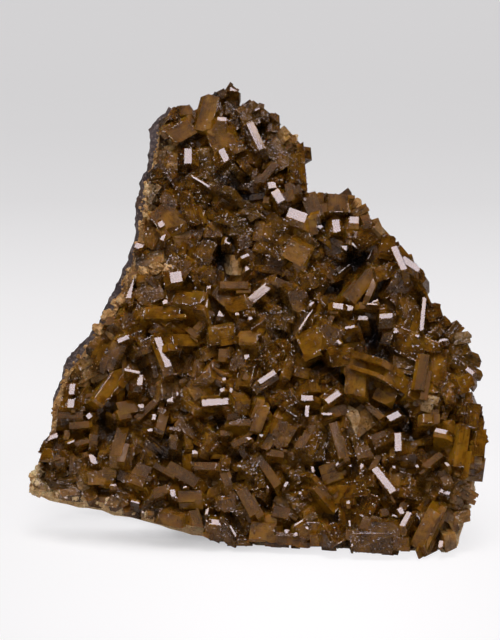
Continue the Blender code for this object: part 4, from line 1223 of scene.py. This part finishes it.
# The see-through share, the inner and outer index, and the patterns that make the stuff uneven.
barite = {"deep": colour(0.070, 0.030, 0.003), "brown": colour(0.21, 0.091, 0.006),
          "amber": colour(0.41, 0.182, 0.008), "honey": colour(0.74, 0.365, 0.018),
          "pale": colour(0.88, 0.68, 0.38), "grey": colour(0.080, 0.052, 0.011),
          "darkRockAndShade": colour(0.004, 0.003, 0.004),
          "stops": ((0.0, "deep"), (0.33, "brown"), (0.66, "amber"), (1.0, "honey")), "seeThrough": 0.65,
          "innerIndex": 1.1, "index": 1.64, "roughness": 0.15, "coatRoughness": 0.03, "flowWeight": 0.4,
          "flow": 0.0012, "flowRatio": (1.0, 0.55, 0.20), "inside": (0, -0.80, 0.42), "faceShare": 0.45,
          "drift": (300, 2, 0.5), "driftReach": 0.004, "clouds": (210, 1, 0.35), "wisps": (760, 2, 0.5),
          "flecks": (2400, 2, 0.6), "depths": (0.30, 1, 0.4), "lines": (1.0, 3, 0.6),
          "lineStretch": (0.16, 2.6, 1), "turns": (280, 1, 0.4), "cloudShare": 0.8, "facet": 1.4,
          "facets": 3000, "shares": (1.15, 0.6, 0.4, 0.6, 0.20), "grit": 2.0,
          "coating": (0.0, 0.6, 0.25, 1.0), "rimBand": (0.35, 0.95, 0.75, 0.25),
          "greyBand": (0.35, 0.65, 0.25, 0.9), "paleBand": (0.24, 0.76),
          "stonyBand": (0.0, 0.8, 1.0, 0.1), "dustyBand": (0.42, 0.54), "frostBand": (0.2, 0.7),
          "calmShare": 0.3, "calmRidges": 0.08, "ridges": (0.00010, 0.4)}


def bariteMaterial():
    # A clean glassy face over smoky amber stuff whose light comes back from inside.
    material, tree, shader = newMaterial("brownBarite")
    place = objectPlace(tree)
    stuff = tree.nodes.new("ShaderNodeAttribute")
    stuff.attribute_name = "stuff"
    parts = tree.nodes.new("ShaderNodeSeparateColor")
    feed(tree, parts.inputs["Color"], stuff.outputs["Color"])
    warm, frost, pale = parts.outputs
    dark = stuff.outputs["Alpha"]
    grain = uvOf(tree, "grain")
    half = (0.5, 0.5, 0.5)
    drift = vectorSums(tree, "SUBTRACT", noiseOf(tree, place, *barite["drift"], "Color"), half)
    bent = vectorSums(tree, "ADD", place, vectorSums(tree, "SCALE", drift, None, barite["driftReach"]))
    clouds = noiseOf(tree, bent, *barite["clouds"])
    wisps = noiseOf(tree, bent, *barite["wisps"])
    flecks = noiseOf(tree, place, *barite["flecks"])
    coated = rangeOf(tree, frost, *barite["coating"])
    grit = sums(tree, "MULTIPLY", sums(tree, "SUBTRACT", flecks, 0.5), coated)
    depths = noiseOf(tree, grain, *barite["depths"])
    stretch = tree.nodes.new("ShaderNodeMapping")
    stretch.inputs["Scale"].default_value = barite["lineStretch"]
    feed(tree, stretch.inputs["Vector"], grain)
    lines = noiseOf(tree, stretch.outputs["Vector"], *barite["lines"])
    sides = tree.nodes.new("ShaderNodeSeparateXYZ")
    feed(tree, sides.inputs[0], vectorSums(tree, "ABSOLUTE", uvOf(tree, "zone")))
    rim = sums(tree, "MAXIMUM", sides.outputs["X"], sides.outputs["Y"])
    rim = rangeOf(tree, rim, *barite["rimBand"])

    # Faces that mirror the lights are calm: their frost is below zero.
    calm = sums(tree, "MULTIPLY", frost, -1.0, True)
    shift = 0.0
    for pattern, share in zip((clouds, depths, wisps, lines, rim), barite["shares"]):
        uneven = sums(tree, "MULTIPLY", sums(tree, "SUBTRACT", pattern, 0.5), share)
        shift = sums(tree, "ADD", uneven, shift)
    shift = sums(tree, "MULTIPLY", shift, rangeOf(tree, calm, 0.0, 1.0, 1.0, barite["calmShare"]))
    tone = sums(tree, "ADD", sums(tree, "ADD", warm, shift), sums(tree, "MULTIPLY", grit, barite["grit"]))
    base = rampOf(tree, tone, [(at, barite[name]) for at, name in barite["stops"]])
    greyed = sums(tree, "MULTIPLY", frost, rangeOf(tree, flecks, *barite["greyBand"]), True)
    base = mixed(tree, greyed, base, barite["grey"])
    paled = sums(tree, "MULTIPLY", pale, rangeOf(tree, wisps, *barite["paleBand"]), True)
    base = mixed(tree, paled, base, barite["pale"])
    # Painted shade: nearly black in the deep hollows. Where the rock shows at the left edge, the dark stands
    # for the rock.
    base = mixed(tree, dark, base, barite["darkRockAndShade"])
    feed(tree, shader.inputs["Base Color"], base)
    for name, value in (("Roughness", "roughness"), ("IOR", "innerIndex"), ("Subsurface Scale", "flow"),
                        ("Subsurface Weight", "flowWeight"), ("Subsurface Radius", "flowRatio"),
                        ("Coat Roughness", "coatRoughness"), ("Coat IOR", "index")):
        shader.inputs[name].default_value = barite[value]
    shader.inputs["Specular IOR Level"].default_value = 0.0
    shader.inputs["Coat Weight"].default_value = 1.0
    # Clear where amber, cloudy where frosted, and stony where pale.
    most = barite["seeThrough"]
    clear = rangeOf(tree, frost, 0.0, 1.0, most, most / 2)
    clear = sums(tree, "MULTIPLY", clear, rangeOf(tree, pale, *barite["stonyBand"]))
    feed(tree, shader.inputs["Transmission Weight"], clear)

    # The inner light keeps little of each face's own direction, and takes some from the clouds.
    face = tree.nodes.new("ShaderNodeTexCoord").outputs["Normal"]
    inner = vectorSums(tree, "SCALE", face, None, barite["faceShare"])
    inner = vectorSums(tree, "ADD", inner, barite["inside"])
    turns = vectorSums(tree, "SUBTRACT", noiseOf(tree, bent, *barite["turns"], "Color"), half)
    inner = vectorSums(tree, "ADD", inner, vectorSums(tree, "SCALE", turns, None, barite["cloudShare"]))
    feed(tree, shader.inputs["Normal"], vectorSums(tree, "NORMALIZE", inner))

    # Growth lines on the glassy face, and tiny facets that turn the light where it is frosted.
    ridges = sums(tree, "MULTIPLY", lines, rangeOf(tree, calm, 0.0, 1.0, 1.0, barite["calmRidges"]))
    normal = bumpOf(tree, ridges, *barite["ridges"])
    facets = vectorSums(tree, "SUBTRACT", cellsOf(tree, place, barite["facets"], "Color"), half)
    dusty = rangeOf(tree, flecks, *barite["dustyBand"], 0.0, barite["facet"])
    amount = sums(tree, "MULTIPLY", rangeOf(tree, frost, *barite["frostBand"]), dusty)
    normal = vectorSums(tree, "ADD", normal, vectorSums(tree, "SCALE", facets, None, amount))
    feed(tree, shader.inputs["Coat Normal"], vectorSums(tree, "NORMALIZE", normal))
    return material


# Tiny crystals: their size, and how many of them mirror the key light.
druse = {"count": 15500, "size": (0.00013, 0.00038), "long": (1, 1.9), "wide": (0.5, 1), "lean": 60,
         "aimed": 0.33, "aimedLean": 8, "leastLean": 2, "depth": 0.002, "share": 0.20, "patches": 0.8,
         "patch": 0.055, "patchLayer": 40, "inset": 3, "darkLoss": 0.9, "honeyLoss": 0.5,
         "rockEdge": 166, "mostBright": 0.975, "aboveFoot": 0.002,
         "from": ((-0.14, 0.14), -0.2, (-0.08, 0.16)), "frost": 0.1, "dark": 0.6}


def tinyBlock(sides, stuff):
    part = bmesh.new()
    bmesh.ops.create_cube(part, size=1)
    bmesh.ops.scale(part, vec=sides, verts=part.verts)
    dress(part, stuff, sides, druse["depth"], 0)
    return part


def setTiny(whole, part, spot, along, normal):
    bmesh.ops.transform(part, matrix=standAt(spot, along, normal), verts=part.verts)
    keptInBox(part)
    joinInto(whole, part)


def tinyCrystal(whole, spot, normal, across, down, family):
    warm, frost, pale, dark = stuffAt(across, down)
    size = wild.uniform(*family["size"])
    towards = Vector((wild.uniform(-1, 1), wild.uniform(-1, 1), wild.uniform(-1, 1)))
    lean = tipped(normal, towards, wild.uniform(0, druse["lean"]))
    if wild.random() < family["aimed"]:
        lean = tipped(mirrorAt(spot), towards, wild.uniform(druse["leastLean"], family["aimedLean"]))
    sides = (size * wild.uniform(*druse["long"]), size * wild.uniform(*druse["wide"]), size)
    # The tiny crystals take the painted shade of the hollows too.
    part = tinyBlock(sides, (warm, druse["frost"], pale, druse["dark"] * dark))
    spin = Matrix.Rotation(wild.uniform(0, math.tau), 3, lean) @ lean.orthogonal().normalized()
    setTiny(whole, part, spot, spin, lean)


def makeDruse(material):
    # Tiny crystals that dust the frosted faces, the hollows and the rock's edge.
    trees = []
    for name in ("bariteBlades", "bariteSmall", "bariteRoot", "veinLumps", "veinLayer", "rockMass"):
        bm = bmesh.new()
        bm.from_mesh(bpy.data.objects[name].data)
        trees.append(BVHTree.FromBMesh(bm))
        bm.free()
    whole = bmesh.new()
    outline = evenOutline(druse["inset"])
    placed = 0
    while placed < druse["count"]:
        across, down = pictureSpot(wild)
        patch = max(0, noise.noise(Vector((across, down, druse["patchLayer"])) * druse["patch"]))
        wanted = druse["share"] + nearSpots(frostSpots, across, down) + druse["patches"] * patch
        hollow = nearSpots(darkSpots, across, down) if across > druse["rockEdge"] else 0
        wanted -= druse["darkLoss"] * max(nearPit(across, down, 1), hollow)
        wanted -= druse["honeyLoss"] * nearSpots(honeySpots, across, down)
        if not insideOutline(outline, across, down) or wild.random() > wanted:
            continue
        target = placeOn(rootY, across, down)
        sideways, towards, upwards = druse["from"]
        start = target + Vector((wild.uniform(*sideways), towards, wild.uniform(*upwards)))
        hits = [tree.ray_cast(start, (target - start).normalized()) for tree in trees]
        hits = [hit for hit in hits if hit[0]]
        if not hits:
            continue
        spot, normal = min(hits, key=lambda hit: hit[3])[:2]
        if spot.z < druse["aboveFoot"] or normal.dot(brightNormal) > druse["mostBright"]:
            continue
        tinyCrystal(whole, spot, normal, across, down, druse)
        placed += 1
    addPiece("bariteDruse", whole, material)


def makeFringe(material):
    # Tiny crystals and thin bright edges along the big crystals' faces.
    whole = bmesh.new()
    outline = evenOutline(druse["inset"])
    for spot, normal in fringePlaces:
        if insideOutline(outline, *placeSeen(spot)) and spot.z > druse["aboveFoot"]:
            tinyCrystal(whole, spot, normal, *placeSeen(spot), fringe)
    for spot, along, most in sliverPlaces:
        mirror = mirrorAt(spot)
        turned = along - mirror * along.dot(mirror)
        aside = math.degrees(turned.angle(along))
        if aside > sliver["mostTurn"] or not insideOutline(outline, *placeSeen(spot)):
            continue
        wide = wild.uniform(*sliver["wide"])
        sides = (min(sliver["mostLong"] * most, wild.uniform(*sliver["long"])), wide, 2 * wide)
        setTiny(whole, tinyBlock(sides, sliver["stuff"]), spot, turned.normalized(), mirror)
    addPiece("bariteFringe", whole, material)


# The studio: a pale sweep, a soft key light that the bright faces mirror, and soft fill.
# The floor's shade and shine are given by how far back it is, and a light by its radiance, sides and place.
studio = {"floorReach": 2.6, "wallAt": 1.9, "bend": 0.7, "wallHeight": 1.6, "rows": 60, "roughness": 0.9,
          "ground": ((-0.2, 0.64), (0.3, 0.64), (1.4, 0.40)), "groundTint": (0.93, 1.04, 0.99),
          "shine": ((-0.2, 0.70), (-0.04, 0.745), (0.066, 0.785), (0.206, 0.805), (0.453, 0.768),
                    (0.836, 0.67), (1.4, 0.628)), "shineTint": (1.0, 0.985, 1.0), "seenGround": 0.4,
          "bounce": colour(0.66, 0.63, 0.58), "contact": (0.016, 0.75), "contactLooks": 4,
          "shadowSide": (-0.055, 0.0), "shadowFront": (-0.036, -0.014), "shadowFaint": 0.2,
          "paintedPool": (0.02, 0.16, 0.19), "poolMiddle": (0.012, 0.15, 0), "poolShape": (1, 0.45, 0),
          "key": (8.2, colour(1.0, 0.88, 0.95)), "glow": (0.48, 1.0), "glowBehind": 1.25,
          "glowShade": colour(1.0, 0.80, 0.69), "sky": (0.02, colour(1.0, 1.0, 1.0)),
          "tent": (0.5, 2.4, 1.8, (0, -1.1, 0.9)), "fill": (0.5, 0.6, 0.8),
          "fillShade": colour(1.0, 0.93, 0.97),
          "fillPlaces": (("leftFill", (-0.9, -0.5, 0.55)), ("rightFill", (0.9, -0.3, 0.5))),
          "sensor": 36, "lens": 135}


def makeSweep():
    bm = bmesh.new()
    bmesh.ops.create_grid(bm, x_segments=2, y_segments=studio["rows"], size=1)
    reach = studio["floorReach"]
    quarter = studio["bend"] * math.pi / 2
    for vert in bm.verts:
        along = (vert.co.y + 1) / 2 * (reach + studio["wallAt"] + studio["wallHeight"]) - reach
        vert.co.x *= reach
        over = along - (studio["wallAt"] - studio["bend"])
        if over <= 0:
            vert.co.y, vert.co.z = along, 0
        elif over < quarter:
            angle = over / studio["bend"]
            vert.co.y = studio["wallAt"] - studio["bend"] * (1 - math.sin(angle))
            vert.co.z = studio["bend"] * (1 - math.cos(angle))
        else:
            vert.co.y, vert.co.z = studio["wallAt"], studio["bend"] + over - quarter
    mesh = bpy.data.meshes.new("studioSweep")
    bm.to_mesh(mesh)
    bm.free()
    sweep = bpy.data.objects.new("studioSweep", mesh)
    bpy.context.scene.collection.objects.link(sweep)
    for face in mesh.polygons:
        face.use_smooth = True
    material, tree, shader = newMaterial("paleSweep")
    place = tree.nodes.new("ShaderNodeSeparateXYZ")
    feed(tree, place.inputs[0], objectPlace(tree))
    low, high = studio["ground"][0][0], studio["ground"][-1][0]
    along = rangeOf(tree, place.outputs["Y"], low, high)
    ramps = []
    for name in ("ground", "shine"):
        stops = [((at - low) / (high - low), colour(*(share * shade for share in studio[name + "Tint"])))
                 for at, shade in studio[name]]
        ramps.append(rampOf(tree, along, stops))
    # The sweep shines for the eye alone, so the crystals mirror no more than a lit table top.
    # Its shine is dimmed close to what stands on it as a painted contact shadow, and raised a little in
    # front as a painted pool of light.
    rays = tree.nodes.new("ShaderNodeLightPath")
    seen = rays.outputs["Is Camera Ray"]
    dimmed = vectorSums(tree, "SCALE", ramps[0], None, studio["seenGround"])
    feed(tree, shader.inputs["Base Color"], mixed(tree, seen, studio["bounce"], dimmed))
    feed(tree, shader.inputs["Emission Color"], ramps[1])
    nearness = tree.nodes.new("ShaderNodeAmbientOcclusion")
    nearness.samples = studio["contactLooks"]
    reach, depth = studio["contact"]
    nearness.inputs["Distance"].default_value = reach
    # A painted contact shadow lies to the left and behind, under the overhanging edge: the shine is dimmed
    # there.
    shadow = rangeOf(tree, nearness.outputs["AO"], 0.0, 1.0, depth, 0.0)
    side = rangeOf(tree, place.outputs["X"], *studio["shadowSide"], 1.0, studio["shadowFaint"])
    front = rangeOf(tree, place.outputs["Y"], *studio["shadowFront"], studio["shadowFaint"], 1.0)
    shadow = sums(tree, "MULTIPLY", sums(tree, "MULTIPLY", shadow, side), front)
    lit = sums(tree, "SUBTRACT", 1.0, shadow)
    inner, outer, gain = studio["paintedPool"]
    away = vectorSums(tree, "ADD", objectPlace(tree), studio["poolMiddle"])
    away = vectorSums(tree, "LENGTH", vectorSums(tree, "MULTIPLY", away, studio["poolShape"]))
    paintedPool = rangeOf(tree, away, inner, outer, 1 + gain, 1.0)
    strength = sums(tree, "MULTIPLY", seen, sums(tree, "MULTIPLY", lit, paintedPool))
    feed(tree, shader.inputs["Emission Strength"], strength)
    shader.inputs["Roughness"].default_value = studio["roughness"]
    shader.inputs["Specular IOR Level"].default_value = 0.0
    mesh.materials.append(material)
    print("made the sweep")


def addLight(name, place, target, width, height, radiance, shade, mirrored=True):
    # A rectangular light that shines with the given radiance, and may be too soft to be mirrored.
    light = bpy.data.lights.new(name, "AREA")
    light.shape = "RECTANGLE"
    light.size, light.size_y = width, height
    light.energy = radiance * math.pi * width * height
    light.color = shade[:3]
    lamp = bpy.data.objects.new(name, light)
    bpy.context.scene.collection.objects.link(lamp)
    lamp.location = place
    lamp.rotation_mode = "QUATERNION"
    lamp.rotation_quaternion = (place - target).to_track_quat("Z", "Y")
    lamp.visible_camera = False
    lamp.visible_glossy = mirrored


def makeLights():
    target = picture["target"]
    addLight("keyBox", keyPlace, target, keyLight["width"], keyLight["height"], *studio["key"])
    radiance, size = studio["glow"]
    behind = target + (keyPlace - target) * studio["glowBehind"]
    addLight("glowSheet", behind, target, size, size, radiance, studio["glowShade"])
    radiance, width, height, place = studio["tent"]
    addLight("softTent", target + Vector(place), target, width, height, radiance, studio["fillShade"], False)
    radiance, width, height = studio["fill"]
    for name, place in studio["fillPlaces"]:
        addLight(name, Vector(place), target, width, height, radiance, studio["fillShade"], False)
    world = bpy.context.scene.world or bpy.data.worlds.new("studioAir")
    bpy.context.scene.world = world
    world.use_nodes = True
    background = world.node_tree.nodes["Background"]
    strength, shade = studio["sky"]
    background.inputs["Color"].default_value = shade
    background.inputs["Strength"].default_value = strength
    print("made the lights")


def makeCamera():
    camera = bpy.data.cameras.new("frontEye")
    camera.sensor_fit = "VERTICAL"
    camera.sensor_height = studio["sensor"]
    camera.lens = studio["lens"]
    eye = bpy.data.objects.new("frontEye", camera)
    bpy.context.scene.collection.objects.link(eye)
    eye.location = eyePlace
    eye.rotation_euler = (math.radians(90 - picture["elevation"]), 0, 0)
    bpy.context.scene.camera = eye
    print("placed the camera")


makeRock()
makeVeinLumps(makeVein())
bariteLook = bariteMaterial()
centres = makeBlades(bariteLook)
makeSmallCrystals(bariteLook, centres)
makeRoot(bariteLook)
makeDruse(bariteLook)
makeFringe(bariteLook)
makeSweep()
makeLights()
makeCamera()
bpy.context.scene.view_settings.view_transform = "Standard"
